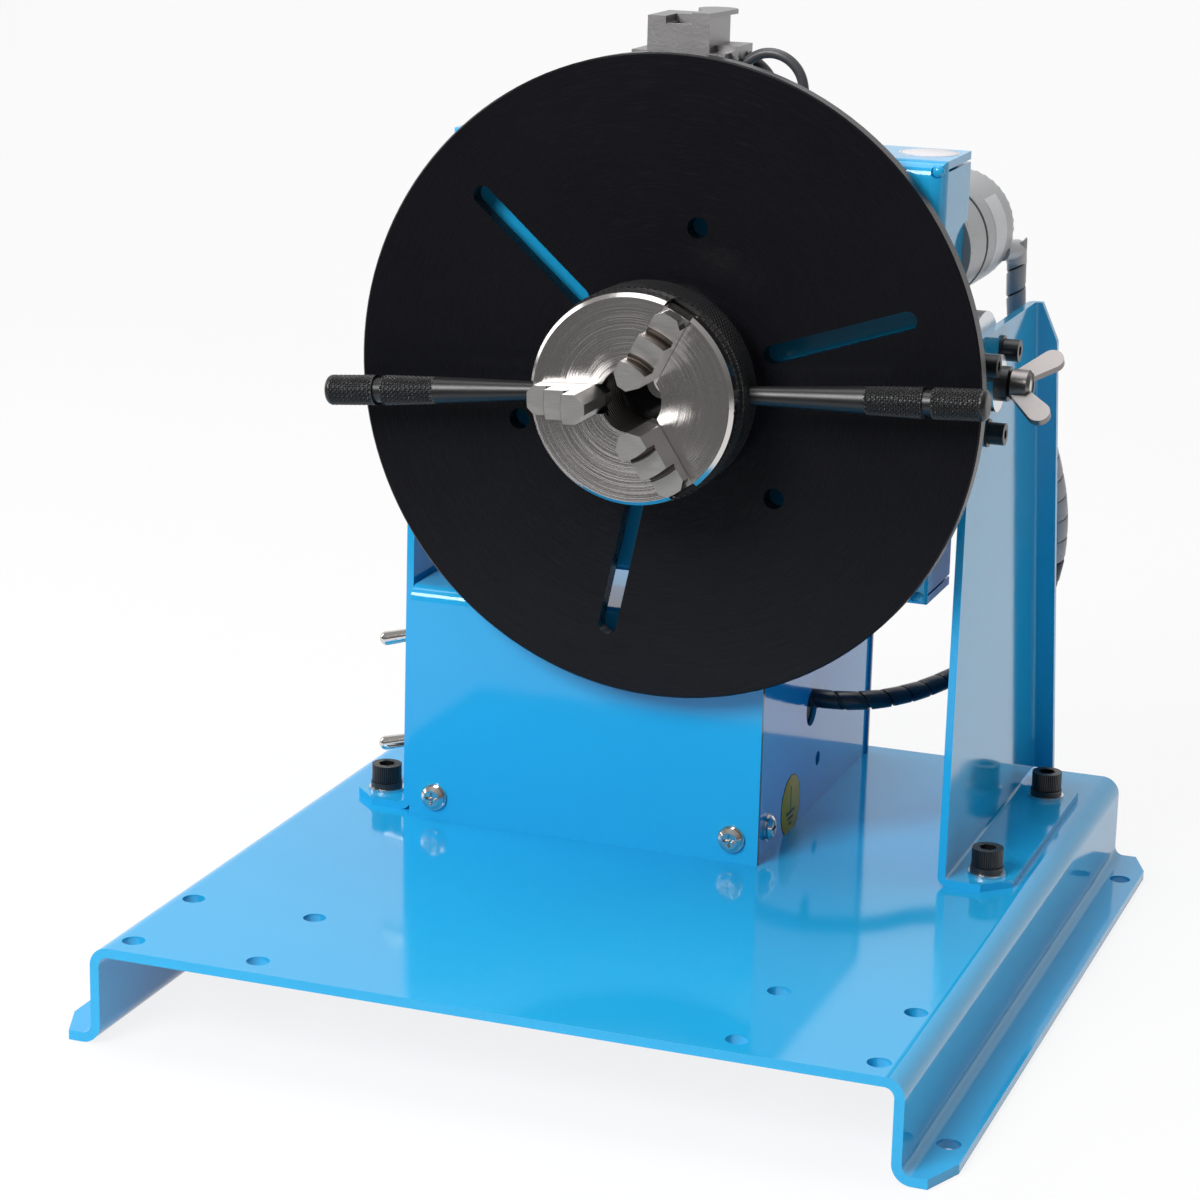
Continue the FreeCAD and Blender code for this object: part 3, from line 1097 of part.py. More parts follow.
def box_fixings():
    for k, x in enumerate((f"{BOX_L} + box_screw_side", f"{BOX_R} - box_screw_side"), start=1):
        pan_screw(f"cover_screw_{k}", (x, "box_front", "base_height + box_screw_up"), "-y",
                  "box_sheet * 2 + 2")
    pan_screw("earth_screw", (f"{BOX_R} - box_inset", "earth_y", "base_height + earth_up"), "x",
              "box_sheet + 3")
    gland = cut("gland_cut", rod("gland_disc", "grommet_round", "grommet_thick"),
                rod("gland_bore", "cable + run_gap * 4", "grommet_thick"))
    at = (f"{BOX_R} - box_inset - box_sheet - grommet_thick", "cable_y",
          f"base_height + cable_up + cable_lift")
    piece(place(gland, at, AXIS["x"]), "cable_grommet")


def panel_controls():
    """On the left panel: two toggle switches and a speed knob on its potentiometer."""
    panel = f"({BOX_L} + box_inset)"
    for k, up in enumerate(("toggle_high", "toggle_low"), start=1):
        can = block(f"toggle_can{k}", "toggle_body", "toggle_body", "toggle_body",
                    (f"-toggle_body / 2", "-toggle_body / 2", "-(toggle_body + box_sheet)"))
        bush = rod(f"toggle_bush{k}", "toggle_bush", "toggle_bush_long + box_sheet", (0, 0, "-box_sheet"))
        nut = hexagon(f"toggle_nut{k}", "toggle_bush + 3", "2")
        mouth = cone(f"toggle_mouth{k}", "toggle_lever + 0.4", "toggle_bush - 1.6", "toggle_bush_long + 1")
        well = rod(f"toggle_well{k}", "toggle_pivot + thread_gap * 2", "toggle_pivot + box_sheet",
                   (0, 0, "-(toggle_pivot / 2 + box_sheet)"))
        body = cut(f"toggle_switch{k}", fuse(f"toggle_solid{k}", can, bush, nut), mouth, well)
        at = (panel, "panel_y", f"base_height + {up}")
        piece(place(body, at, AXIS["-x"]), f"toggle_body_{k}")
        stem = cone(f"toggle_stem{k}", "toggle_lever - 0.8", "toggle_tip", "toggle_reach - toggle_tip / 2")
        tip = make("Part::Sphere", f"toggle_end{k}", {"Radius": "toggle_tip / 2"},
                   (0, 0, "toggle_reach - toggle_tip / 2"))
        ball = make("Part::Sphere", f"toggle_ball{k}", {"Radius": "toggle_pivot / 2"})
        lever = fuse(f"toggle_bat{k}", stem, tip, ball)
        lean = Turn(V(0, 1, 0), -90 - num("toggle_tilt"))
        piece(place(lever, at, lean), f"toggle_lever_{k}")
    spot = (panel, "knob_y", "base_height + knob_up")
    pot = fuse("pot_solid", rod("pot_can", "pot_round", "pot_long", (0, 0, "-(pot_long + box_sheet)")),
               rod("pot_bushing", "pot_bush", "box_sheet + 3", (0, 0, "-box_sheet")),
               hexagon("pot_nut", "pot_bush + 3", "1.8"))
    pot = cut("pot_cut", pot, rod("pot_bore", "pot_shaft + run_gap * 2", "pot_shaft_long + knob_foot + 4",
                                  (0, 0, "-(pot_shaft_long + 0.5)")))
    piece(place(pot, spot, AXIS["-x"]), "speed_potentiometer")
    skirt = cone("knob_cone", "knob_round", "knob_round - knob_taper", "knob_high", (0, 0, "knob_foot"))
    well = rod("knob_well", "pot_bush + 6", "1.5", (0, 0, "knob_foot"))
    shaft = rod("knob_shaft", "pot_shaft", "pot_shaft_long + knob_foot + 2", (0, 0, "-pot_shaft_long"))
    grips = []
    far, count = "(knob_round / 2 + knob_flute / 5)", int(num("knob_flutes"))
    for k in range(count):
        angle = 360 * k / count
        at = (f"{far} * cos({angle})", f"{far} * sin({angle})", "knob_foot + knob_skirt")
        grips.append(rod(f"knob_flute{k}", "knob_flute", "knob_high", at))
    knob = fuse("knob_solid", cut("knob_cut", skirt, well, *grips), shaft)
    piece(place(knob, spot, AXIS["-x"]), "speed_knob")


# ---------------------------------------------------------------- ground brush unit
CARBON_LOW = "(brush_floor - brush_flange_thick + 1.3)"


def brush_unit():
    """A cast holder behind the table rim: its carbon brush runs on the table's back and grounds the work."""
    x, front, floor = "(head_x + brush_shift)", "brush_front", "brush_floor"
    deck = f"({floor} - brush_flange_thick)"
    leg = fuse("brush_leg_solid",
               block("brush_leg_up", "brush_leg", "brush_leg_sheet", f"{deck} - {PAN_HIGH}",
                     (f"{x} - brush_leg / 2", f"{front} + brush_deep - brush_leg_sheet", PAN_HIGH)),
               block("brush_leg_low", "brush_leg", "brush_deep - 2", "brush_leg_sheet",
                     (f"{x} - brush_leg / 2", f"{front} + 2", PAN_HIGH)),
               block("brush_leg_top", "brush_leg", "brush_deep", "brush_leg_sheet",
                     (f"{x} - brush_leg / 2", front, f"{deck} - brush_leg_sheet")))
    piece(leg, "brush_stand")
    flange = block("brush_flange_box", "brush_flange", "brush_deep + 4", "brush_flange_thick",
                   (f"{x} - brush_flange / 2", front, deck))
    body = block("brush_body_box", "brush_body", "brush_deep", "brush_high",
                 (f"{x} - brush_body / 2", front, floor))
    terminal = block("brush_terminal", "block_right", "block_deep", "block_high",
                     (x, f"{front} + brush_deep - block_deep", deck))
    slack = "run_gap * 2"
    bore = block("brush_way", f"carbon + {slack} * 2", "brush_deep - 4", f"carbon_high + {slack} * 2",
                 (f"{x} - carbon / 2 - {slack}", front, f"{CARBON_LOW} - {slack}"))
    notch = block("brush_notch", "brush_notch_wide", "brush_notch_deep", "brush_notch_low",
                  (f"{x} - brush_notch_left", front, f"{floor} + brush_high - brush_notch_low"))
    mouth = block("brush_mouth", "brush_notch_wide - 1.6", "brush_notch_deep - 2", "brush_high - 3",
                  (f"{x} - brush_notch_left + 0.8", f"{front} + 2", f"{floor} + 1"))
    holes = []
    for k, points in enumerate((LEAD_1, LEAD_2)):
        start, way = V(*points[0]), V(*points[1]) - V(*points[0])
        way.normalize()
        seat = start - way * num("thread_gap")
        hole = rod(f"lead_way{k}", "lead + thread_gap * 2", "lead * 3", tuple(seat))
        hole.Placement.Rotation = Turn(V(0, 0, 1), way)
        holes.append(hole)
    holder = cut("brush_holder_cut", fuse("brush_holder_solid", flange, body, terminal), bore, notch,
                 mouth, *holes)
    carbon = block("carbon_block", "carbon", f"{front} - {TABLE_BACK} - 0.3 + 12", "carbon_high",
                   (f"{x} - carbon / 2", f"{TABLE_BACK} + 0.3", CARBON_LOW))
    piece(carbon, "carbon_brush")
    wide, deep = num("brush_body"), num("brush_deep")
    low = num("brush_body / 2 - brush_notch_left + brush_notch_wide")
    spots = [V(low, 0, 0), V(wide, 0, 0), V(wide + 2.5, deep, 0), V(low - 4, deep - 2, 0),
             V(low, deep / 2, 0)]
    curve = Part.Arc(spots[2], V(wide - 5, deep + 4.5, 0), spots[3]).toShape()
    rim = [Part.makeLine(spots[0], spots[1]), Part.makeLine(spots[1], spots[2]), curve,
           Part.makeLine(spots[3], spots[4]), Part.makeLine(spots[4], spots[0])]
    lid = shape("brush_cap", Part.Face(Part.Wire(rim)).extrude(V(0, 0, num("brush_lid"))))
    place(lid, (f"{x} - brush_body / 2", front, f"{floor} + brush_high"))
    piece(group("brush_holder_set", holder, lid), "brush_holder")


def tube(label, points, wide):
    """A cable of straight runs joined by tangent arcs, each arc as large as its two runs allow."""
    spots = [V(*point) for point in points]
    parts, here = [], spots[0]
    for k in range(1, len(spots) - 1):
        before, after = spots[k] - spots[k - 1], spots[k + 1] - spots[k]
        turn = before.getAngle(after)
        short = min(before.Length, after.Length)
        radius = 0.45 * short / math.tan(turn / 2)
        trim = 0.45 * short
        start = spots[k] - before.normalize() * trim
        end = spots[k] + after.normalize() * trim
        inward = (after - before)
        inward.normalize()
        centre = spots[k] + inward * (radius / math.cos(turn / 2))
        toward = spots[k] - centre
        middle = centre + toward.normalize() * radius
        parts.append(Part.makeLine(here, start))
        parts.append(Part.Arc(start, middle, end).toShape())
        print(f"{label}: bend radius {radius:.1f} at point {k}")
        here = end
    parts.append(Part.makeLine(here, spots[-1]))
    path = Part.Wire(parts)
    first = spots[1] - spots[0]
    section = Part.Wire([Part.makeCircle(wide / 2, spots[0], first)])
    body = path.makePipeShell([section], True, True)
    body = body if body.ShapeType == "Solid" else Part.Solid(body)
    share = body.Volume / (math.pi * wide ** 2 / 4 * path.Length)
    print(f"{label}: length {path.Length:.1f}, volume over section times length {share:.4f}")
    piece(shape(label + "_tube", body), label)


def cables():
    """The motor cable and the two brush leads, through points chosen by hand."""
    tube("brush_lead_1", LEAD_1, num("lead"))
    tube("brush_lead_2", LEAD_2, num("lead"))
    tube("motor_cable", MOTOR_CABLE, num("cable"))


LEAD_1 = [(18, 16, 284), (22.1, 16, 287.44), (27.33, 16, 288.55), (32.47, 16, 287.08),
          (36.32, 16.3, 283.36),
          (37.97, 16.6, 278.27), (38.3, 16.8, 269.1), (38.3, 16.8, 260.2)]
LEAD_2 = [(18, 21.5, 286.6), (22.6, 21.5, 283.9), (26.2, 21.7, 279.6), (28.2, 22, 274.3),
          (28.6, 22, 267.2), (28.6, 22, 260.2)]
MOTOR_CABLE = [(88.3, 97, 221.5), (88.3, 97.3, 207), (89.5, 100.5, 191), (93.5, 107.5, 172),
               (98.5, 119, 150),
               (101, 131, 126), (98.5, 134, 100), (88, 119, 80), (69.7, 90, 72), (58.8, 73.2,
                                                                                  71.2), (50.5, 66.8, 71),
               (41, 63.5, 71), (31, 63.5, 71)]

base_plate()
bracket(-1, "bracket_left")
bracket(1, "bracket_right")
bracket_fixings()
pivots()
wing_nut()
tilt_pan()
back_cover()
table()
spindle()
bearings()
gear_train()
motor()
chuck_back_plate()
chuck_body()
scroll_ring()
for index in range(3):
    jaw(index)
tommy_bar(BAR_TURNS[0], "tommy_bar_right")
tommy_bar(BAR_TURNS[1], "tommy_bar_left")
box_chassis()
box_cover()
box_fixings()
panel_controls()
brush_unit()
cables()

doc.recompute()
for item in doc.Objects:
    if "Invalid" in item.State or "Error" in item.State:
        raise ValueError(f"{item.Label} failed: {item.State}")
for item in pieces:
    if item.Shape.isNull() or not item.Shape.isValid():
        raise ValueError(f"{item.Label} has no valid shape")
for item in pieces:
    item.Shape.exportStep(f"parts/{item.Label}.step")
print(len(pieces), "pieces")
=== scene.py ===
# %% [markdown]
# # A small bench welding positioner
#
# A welding positioner holds a round work piece in a chuck and turns it slowly, so that the torch can stay
# still. This one is small enough for a bench: a bent steel base, two side brackets, and between them a
# tilting box with a motor and a turntable.
#
# The solid parts come from a CAD model, which is loaded first and never changed. Blender adds what a CAD
# model leaves out: the finish of every surface, knurling, threads, cables and labels.

import json
import math

import bpy
from mathutils import Matrix, Vector


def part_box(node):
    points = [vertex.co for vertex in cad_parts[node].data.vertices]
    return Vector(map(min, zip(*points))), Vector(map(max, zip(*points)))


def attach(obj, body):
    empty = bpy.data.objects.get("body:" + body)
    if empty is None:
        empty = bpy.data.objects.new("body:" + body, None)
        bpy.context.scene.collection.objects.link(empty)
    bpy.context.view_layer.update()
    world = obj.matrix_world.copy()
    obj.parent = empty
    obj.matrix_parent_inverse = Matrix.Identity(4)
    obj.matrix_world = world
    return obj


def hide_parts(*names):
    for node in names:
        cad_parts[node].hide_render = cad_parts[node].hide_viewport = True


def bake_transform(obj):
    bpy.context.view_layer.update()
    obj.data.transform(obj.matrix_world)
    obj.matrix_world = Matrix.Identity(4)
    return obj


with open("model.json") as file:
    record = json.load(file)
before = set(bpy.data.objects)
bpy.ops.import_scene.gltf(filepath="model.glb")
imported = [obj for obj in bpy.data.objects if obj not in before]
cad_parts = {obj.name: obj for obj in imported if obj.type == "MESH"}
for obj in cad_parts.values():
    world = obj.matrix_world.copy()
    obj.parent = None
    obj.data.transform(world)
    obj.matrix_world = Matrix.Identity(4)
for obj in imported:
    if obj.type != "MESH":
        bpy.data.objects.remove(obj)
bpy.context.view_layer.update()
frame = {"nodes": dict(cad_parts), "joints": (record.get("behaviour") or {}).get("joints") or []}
nodes = frame["nodes"]
joints = {joint["name"]: joint for joint in frame["joints"]}
MM = 0.001

# %% [markdown]
# ## The camera
#
# A product is usually shot with a long lens from a little above and to one side, which keeps round parts
# round. The camera's axes are written out as three vectors: forward, right and up. A small roll is added at
# the end, because a hand-levelled camera is rarely quite level.

# %% Place the camera
camera_at = Vector((0.3268, -0.9504, 0.3893))
yaw = math.radians(19.956)
pitch = math.radians(-15.211)
roll = math.radians(1.343)
forward = Vector((-math.sin(yaw) * math.cos(pitch), math.cos(yaw) * math.cos(pitch), math.sin(pitch)))
level = Vector((math.cos(yaw), math.sin(yaw), 0))
upward = level.cross(forward)
right = level * math.cos(roll) + upward * math.sin(roll)
up = upward * math.cos(roll) - level * math.sin(roll)

lens = bpy.data.cameras.new("camera")
lens.sensor_width = 36
lens.lens = 98.74
camera = bpy.data.objects.new("camera", lens)
camera.matrix_world = Matrix((right, up, -forward)).transposed().to_4x4()
camera.location = camera_at
bpy.context.scene.collection.objects.link(camera)
bpy.context.scene.camera = camera
print("camera to table:", round((camera_at - Vector(joints["table_spin"]["pos_m"])).length, 3), "m")

# %% [markdown]
# ## Shader arithmetic
#
# A procedural finish is a small calculation that runs at every point of a surface. Written as nodes it soon
# turns into a web, so one small class lets a socket be used in ordinary Python arithmetic, and a second one
# holds the nodes while they are being made. Each operator adds one Math node.

# %% A socket that does arithmetic
class Value:
    """A number that varies over a surface."""

    def __init__(self, finish, socket):
        self.finish = finish
        self.socket = socket

    def math(self, operation, *inputs):
        return self.finish.add("ShaderNodeMath", {"operation": operation}, dict(enumerate(inputs)))

    def __add__(self, other):
        return self.math("ADD", self, other)

    def __radd__(self, other):
        return self.math("ADD", other, self)

    def __sub__(self, other):
        return self.math("SUBTRACT", self, other)

    def __rsub__(self, other):
        return self.math("SUBTRACT", other, self)

    def __mul__(self, other):
        return self.math("MULTIPLY", self, other)

    def __rmul__(self, other):
        return self.math("MULTIPLY", other, self)

    def __truediv__(self, other):
        return self.math("DIVIDE", self, other)

    def __pow__(self, other):
        return self.math("POWER", self, other)

    def __gt__(self, other):
        return self.math("GREATER_THAN", self, other)

    def __lt__(self, other):
        return self.math("LESS_THAN", self, other)

    def __abs__(self):
        return self.math("ABSOLUTE", self)

    def least(self, other):
        return self.math("MINIMUM", self, other)

    def most(self, other):
        return self.math("MAXIMUM", self, other)

    def zigzag(self):
        """Up from 0 to 1 and down again, once for each whole step of the value."""
        return self.math("PINGPONG", self, 0.5) * 2


# %% Nodes added one call at a time
class Nodes:
    """A node tree, and the few kinds of node that the finishes are made of."""

    def __init__(self, tree):
        self.tree = tree

    def add(self, kind, settings=None, inputs=None, out=0):
        """Add any node: its settings, then the values or links of its sockets; gives back one output."""
        node = self.tree.nodes.new(kind)
        for key, value in (settings or {}).items():
            setattr(node, key, value)
        for key, value in (inputs or {}).items():
            self.feed(node.inputs[key], value)
        return Value(self, node.outputs[out])

    def feed(self, socket, value):
        if isinstance(value, Value):
            self.tree.links.new(value.socket, socket)
        else:
            socket.default_value = value

    def ramp(self, value, low, high, bottom=0.0, top=1.0):
        """Map value from the span low..high to bottom..top, held at both ends."""
        inputs = {"Value": value, "From Min": low, "From Max": high, "To Min": bottom, "To Max": top}
        return self.add("ShaderNodeMapRange", {"clamp": True}, inputs)

    def split(self, vector):
        """The x, y and z of a vector."""
        node = self.tree.nodes.new("ShaderNodeSeparateXYZ")
        self.feed(node.inputs[0], vector)
        return [Value(self, output) for output in node.outputs]


# %% A material under construction
class Finish(Nodes):
    """A material with one Principled shader."""

    def __init__(self, name, colour, metallic=0.0, roughness=0.5, **constants):
        self.material = bpy.data.materials.new(name)
        self.material.use_nodes = True
        super().__init__(self.material.node_tree)
        self.shader = self.tree.nodes["Principled BSDF"]
        self.set("Base Color", (*colour, 1))
        self.set("Metallic", metallic)
        self.set("Roughness", roughness)
        for socket, value in constants.items():
            self.set(socket.replace("_", " ").title().replace("Ior", "IOR"), value)

    def set(self, name, value):
        self.feed(self.shader.inputs[name], value)
        return self

    def place(self):
        """The point on the surface, in metres."""
        return self.add("ShaderNodeTexCoord", out="Object")

    def facing(self):
        """The way the surface faces, in the piece's own axes."""
        return self.add("ShaderNodeTexCoord", out="Normal")

    def noise(self, scale, detail=3.0, rough=0.5, vector=None):
        """Soft random values from 0 to 1, with features about 1 / scale metres across."""
        inputs = {"Vector": vector or self.place(), "Scale": scale, "Detail": detail, "Roughness": rough}
        return self.add("ShaderNodeTexNoise", {}, inputs)

    def mix(self, factor, first, second):
        """Blend two colours."""
        inputs = {"Factor": factor, 6: self.rgb(first), 7: self.rgb(second)}
        return self.add("ShaderNodeMix", {"data_type": "RGBA"}, inputs, out=2)

    def rgb(self, colour):
        return colour if isinstance(colour, Value) else (*colour, 1)

    def bump(self, *layers, over=None):
        """Relief from layers of (height from 0 to 1, depth in metres), over any normal given."""
        deepest = max(depth for _, depth in layers)
        total = layers[0][0] * (layers[0][1] / deepest)
        for height, depth in layers[1:]:
            total = total + height * (depth / deepest)
        inputs = {"Height": total, "Distance": deepest, "Strength": 1.0}
        if over:
            inputs["Normal"] = over
        normal = self.add("ShaderNodeBump", {}, inputs)
        return self.set("Normal", normal)

    def join(self, x, y, z):
        return self.add("ShaderNodeCombineXYZ", {}, {0: x, 1: y, 2: z})

    def vector(self, operation, first, second=None):
        """Vector arithmetic; the second input of SCALE is a number."""
        inputs = {0: first}
        if second is not None:
            inputs["Scale" if operation == "SCALE" else 1] = second
        return self.add("ShaderNodeVectorMath", {"operation": operation}, inputs)

    def lean(self, way, slope):
        """The surface's normal, tilted along a direction in the piece's own axes."""
        turn = {"vector_type": "VECTOR", "convert_from": "OBJECT", "convert_to": "WORLD"}
        tilt = self.vector("SCALE", self.add("ShaderNodeVectorTransform", turn, {0: way}), slope)
        face = self.add("ShaderNodeNewGeometry", out="Normal")
        return self.vector("NORMALIZE", self.vector("ADD", face, tilt))

    def around(self, axis, centre):
        """Turns about an axis through a point, distance from it, and place along it in metres."""
        parts = self.split(self.place())
        first, second = [k for k in range(3) if k != axis]
        u = parts[first] - centre[first]
        v = parts[second] - centre[second]
        turns = self.add("ShaderNodeMath", {"operation": "ARCTAN2"}, {0: v, 1: u}) / (2 * math.pi)
        return turns, (u * u + v * v) ** 0.5, parts[axis]


print("shader helpers ready")

# %% [markdown]
# ## Stage and light
#
# Small products are often shot on a table with a curved white sheet behind them. The sheet looks plain white
# to camera, mirror and glass rays, and is an ordinary pale surface for the rest of the light. It ends a
# little way in front of the object, because polished metal that faces the camera looks best when it
# mirrors a dark room with a few bright lamps, not one even white.

# %% Floor, backdrop and world
def white_where_seen(name, share):
    """A pale surface that shows as white to camera, glossy and transmission rays."""
    finish = Finish(name, (0.8, 0.8, 0.8), roughness=0.9)
    kinds = ("Camera", "Glossy", "Transmission")
    rays = [finish.add("ShaderNodeLightPath", out=f"Is {kind} Ray") for kind in kinds]
    seen = (rays[0] + rays[1] + rays[2]) * share
    glow = finish.add("ShaderNodeEmission", {}, {"Color": (1, 1, 1, 1), "Strength": 1.0})
    surface = Value(finish, finish.shader.outputs[0])
    both = finish.add("ShaderNodeMixShader", {}, {0: seen, 1: surface, 2: glow})
    finish.feed(finish.tree.nodes["Material Output"].inputs["Surface"], both)
    return finish.material


half_width = 2.6
front_edge, bend_start = -0.45, 0.9
bend_radius, bend_steps, sheet_top = 0.8, 12, 3.0
profile = [(front_edge, 0.0), (bend_start, 0.0)]
for k in range(1, bend_steps + 1):
    a = math.pi / 2 * k / bend_steps
    profile.append((bend_start + bend_radius * math.sin(a), bend_radius - bend_radius * math.cos(a)))
profile.append((bend_start + bend_radius, sheet_top))
sweep = bpy.data.meshes.new("backdrop")
corners = [(side * half_width, y, z) for y, z in profile for side in (-1, 1)]
sweep.from_pydata(corners, [], [(2 * k, 2 * k + 1, 2 * k + 3, 2 * k + 2) for k in range(len(profile) - 1)])
backdrop = bpy.data.objects.new("backdrop", sweep)
bpy.context.scene.collection.objects.link(backdrop)
backdrop.location.z = -0.0002
sweep.materials.append(white_where_seen("backdrop_white", 0.85))
for face in sweep.polygons:
    face.use_smooth = True

world = bpy.data.worlds.new("studio")
world.use_nodes = True
bpy.context.scene.world = world
room = Nodes(world.node_tree)
_, _, height = room.split(room.add("ShaderNodeTexCoord", out="Generated"))
to_camera = room.add("ShaderNodeLightPath", out="Is Camera Ray")
dim = room.ramp(height, 0.0, 0.9, 0.13, 0.42)
room.feed(world.node_tree.nodes["Background"].inputs["Color"], (1, 1, 1, 1))
room.feed(world.node_tree.nodes["Background"].inputs["Strength"], to_camera + (1 - to_camera) * dim)
bpy.context.scene.view_settings.view_transform = "Standard"
print("backdrop sheet from y", front_edge, "to", profile[-1][0], "m")


# %% Lamps
def softbox(name, at, aim, size, watts):
    """A rectangular area lamp at a point, turned towards another."""
    lamp = bpy.data.lights.new(name, "AREA")
    lamp.shape = "RECTANGLE"
    lamp.size, lamp.size_y = size
    lamp.energy = watts
    item = bpy.data.objects.new(name, lamp)
    item.location = at
    item.rotation_euler = (Vector(aim) - Vector(at)).to_track_quat("-Z", "Y").to_euler()
    bpy.context.scene.collection.objects.link(item)


middle = (0, 0, 0.15)
softbox("lamp_key", (-0.55, -1.5, 1.2), middle, (0.8, 0.8), 32)
softbox("lamp_top", (-0.15, 0.1, 1.6), middle, (1.2, 0.9), 10)
softbox("lamp_left", (-1.5, 0.1, 0.7), middle, (0.7, 1.0), 6)

# %% [markdown]
# ## Sky blue powder coat
#
# The base, the brackets, the tilting box and the control box are bent sheet steel under glossy powder coat.
# Powder coat cures with a faint orange peel, a relief a few thousandths of a millimetre deep and a
# millimetre across, which makes the edge of every mirrored shape slightly ragged. One glossy layer with a
# bump is used here, and not a separate clear coat, so that the relief reaches the reflection.

# %% Powder coat
def powder_coat(name, shaded_from=1.0):
    """The coat; past shaded_from along x its colour is a painted shade, a near-black blue, for the edge of a
    sheet inside a narrow gap.
    """
    finish = Finish(name, (0.017, 0.37, 0.7), roughness=0.08, ior=1.5)
    broad = finish.noise(14, 2)
    coat = finish.mix(broad, (0.014, 0.357, 0.685), (0.02, 0.383, 0.715))
    x, _, _ = finish.split(finish.place())
    # Painted shade: past shaded_from the sheet's edge is coloured near-black blue, as the gap beside it
    # would shade it.
    finish.set("Base Color", finish.mix(x > shaded_from, coat, (0.002, 0.02, 0.06)))
    finish.set("Roughness", 0.06 + finish.noise(60, 3) * 0.05)
    finish.bump((finish.noise(850, 2, 0.4), 0.0000045), (finish.noise(90, 1), 0.00002))
    return finish.material


blue = powder_coat("blue_powder_coat")
# The cover's last tenth of a millimetre along x gets the painted shade of the gap beside it.
cover_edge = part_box("box_cover")[1][0]
edge_skin = 0.0001
cover_blue_painted_gap_shade = powder_coat("blue_powder_coat_cover_painted_gap_shade", cover_edge - edge_skin)
blue_parts = ("base_plate", "bracket_left", "bracket_right", "tilt_pan", "back_cover", "box_chassis",
              "brush_stand")
print("powder coat for", len(blue_parts) + 1, "bent sheets")


# %% [markdown]
# ## Turned metals
#
# Turned parts show rings around their axis, because the tool leaves one fine groove per turn. The rings are
# noise over the distance to the spindle's axis and the angle round it, stretched along the angle. Light
# bounces off the walls of such grooves towards and away from the axis only, and that gives a turned face
# its bright wedges. The black table has the same grooves under its oxide, but cut much shorter, so that
# they show as small dashes.

# %% Grooves around the spindle
spindle_at = joints["table_spin"]["pos_m"]
turned_slope, turned_arcs = 0.42, 0.5
wall_fine, groove_fine, groove_relief = 21000, 6000, 0.000004


def rings(finish, per_metre, arcs):
    """Random values in rings round the spindle: fine across, long around."""
    turns, radius, along = finish.around(1, spindle_at)
    spot = finish.join(radius * per_metre, turns * (arcs * 2 * math.pi), along * per_metre)
    return finish.noise(1.0, 2, 0.5, spot)


def outward(finish):
    """The direction away from the spindle's axis, and the distance from it in metres."""
    x, _, z = finish.split(finish.place())
    u, v = x - spindle_at[0], z - spindle_at[2]
    length = (u * u + v * v) ** 0.5
    return finish.join(u / length, 0.0, v / length), length


def turned_walls(finish):
    """The normal of a turned face, whose groove walls lean in and out by up to the turned slope."""
    way, _ = outward(finish)
    return finish.lean(way, (rings(finish, wall_fine, turned_arcs) - 0.5) * (2 * turned_slope))


def table_black():
    finish = Finish("table_black_oxide", (0.005, 0.005, 0.007), roughness=0.25, specular_ior_level=0.16)
    dash = rings(finish, 1500, 14)
    cloud = finish.noise(28, 4)
    finish.set("Base Color", finish.mix(cloud, (0.004, 0.004, 0.0058), (0.0066, 0.0066, 0.0088)))
    finish.set("Roughness", 0.22 + dash * 0.1)
    way, _ = outward(finish)
    slope = (rings(finish, 15000, 5) - 0.5) * finish.ramp(dash, 0.55, 0.8, 0.3, 1.1)
    finish.bump((cloud, 0.00001), over=finish.lean(way, slope))
    return finish.material


steel_dark, steel_light = (0.6, 0.575, 0.56), (0.7, 0.675, 0.66)


def turned_steel():
    finish = Finish("turned_steel", steel_light, metallic=1.0, roughness=0.2)
    groove = rings(finish, groove_fine, turned_arcs)
    finish.set("Base Color", finish.mix(groove, steel_dark, steel_light))
    finish.set("Roughness", 0.16 + groove * 0.08)
    finish.bump((groove, groove_relief), over=turned_walls(finish))
    return finish.material


turned = turned_steel()
print("spindle axis at", [round(part, 4) for part in spindle_at])


# %% [markdown]
# ## The chuck's own finishes
#
# The chuck's front is bright, but its slots and bore are dark, partly with oil and partly as painted shade
# of the recesses. One finish does both: a mask that is 1 below the front face and inside the rim turns the
# steel dark. The bore also has a thread, whose crests are painted light and its grooves dark: a painted
# highlight and shade.

# %% Chuck body
chuck_low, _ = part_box("chuck_body")
front_y = chuck_low[1]
slots_reach, bore_radius, front_skin = 0.0312, 0.0106, 0.0004
thread_pitch, thread_deep = 0.0015, 0.0004


def chuck_steel():
    finish = Finish("chuck_steel", steel_light, metallic=1.0, roughness=0.2)
    turns, radius, y = finish.around(1, spindle_at)
    inside = (radius < slots_reach) * (y > front_y + front_skin)
    bore = (radius < bore_radius) * inside
    groove = rings(finish, groove_fine, turned_arcs)
    steel = finish.mix(groove, steel_dark, steel_light)
    # Inside the slots and bore the colour is darker: partly oil, partly painted shade of the recesses.
    grease_and_painted_shade = finish.mix(finish.noise(500, 3), (0.02, 0.016, 0.013), (0.09, 0.075, 0.062))
    thread = (y / thread_pitch + turns).zigzag()
    # Painted highlight on the thread's crests and painted shade in its grooves.
    thread_painted_light = finish.mix(finish.ramp(thread, 0.55, 0.8), (0.05, 0.045, 0.04), (0.5, 0.48, 0.46))
    finish.set("Base Color", finish.mix(bore, finish.mix(inside, steel, grease_and_painted_shade), thread_painted_light))
    finish.set("Roughness", 0.19 + inside * 0.16)
    finish.bump((groove, groove_relief), (thread * bore, thread_deep), over=turned_walls(finish))
    return finish.material


# %% Jaws
riser_at = (0.01567, 0.02333)
band_wide, band_early = 0.0017, 0.0001
end_from, end_to = 0.0085, 0.03
out_of_slot = 0.0006


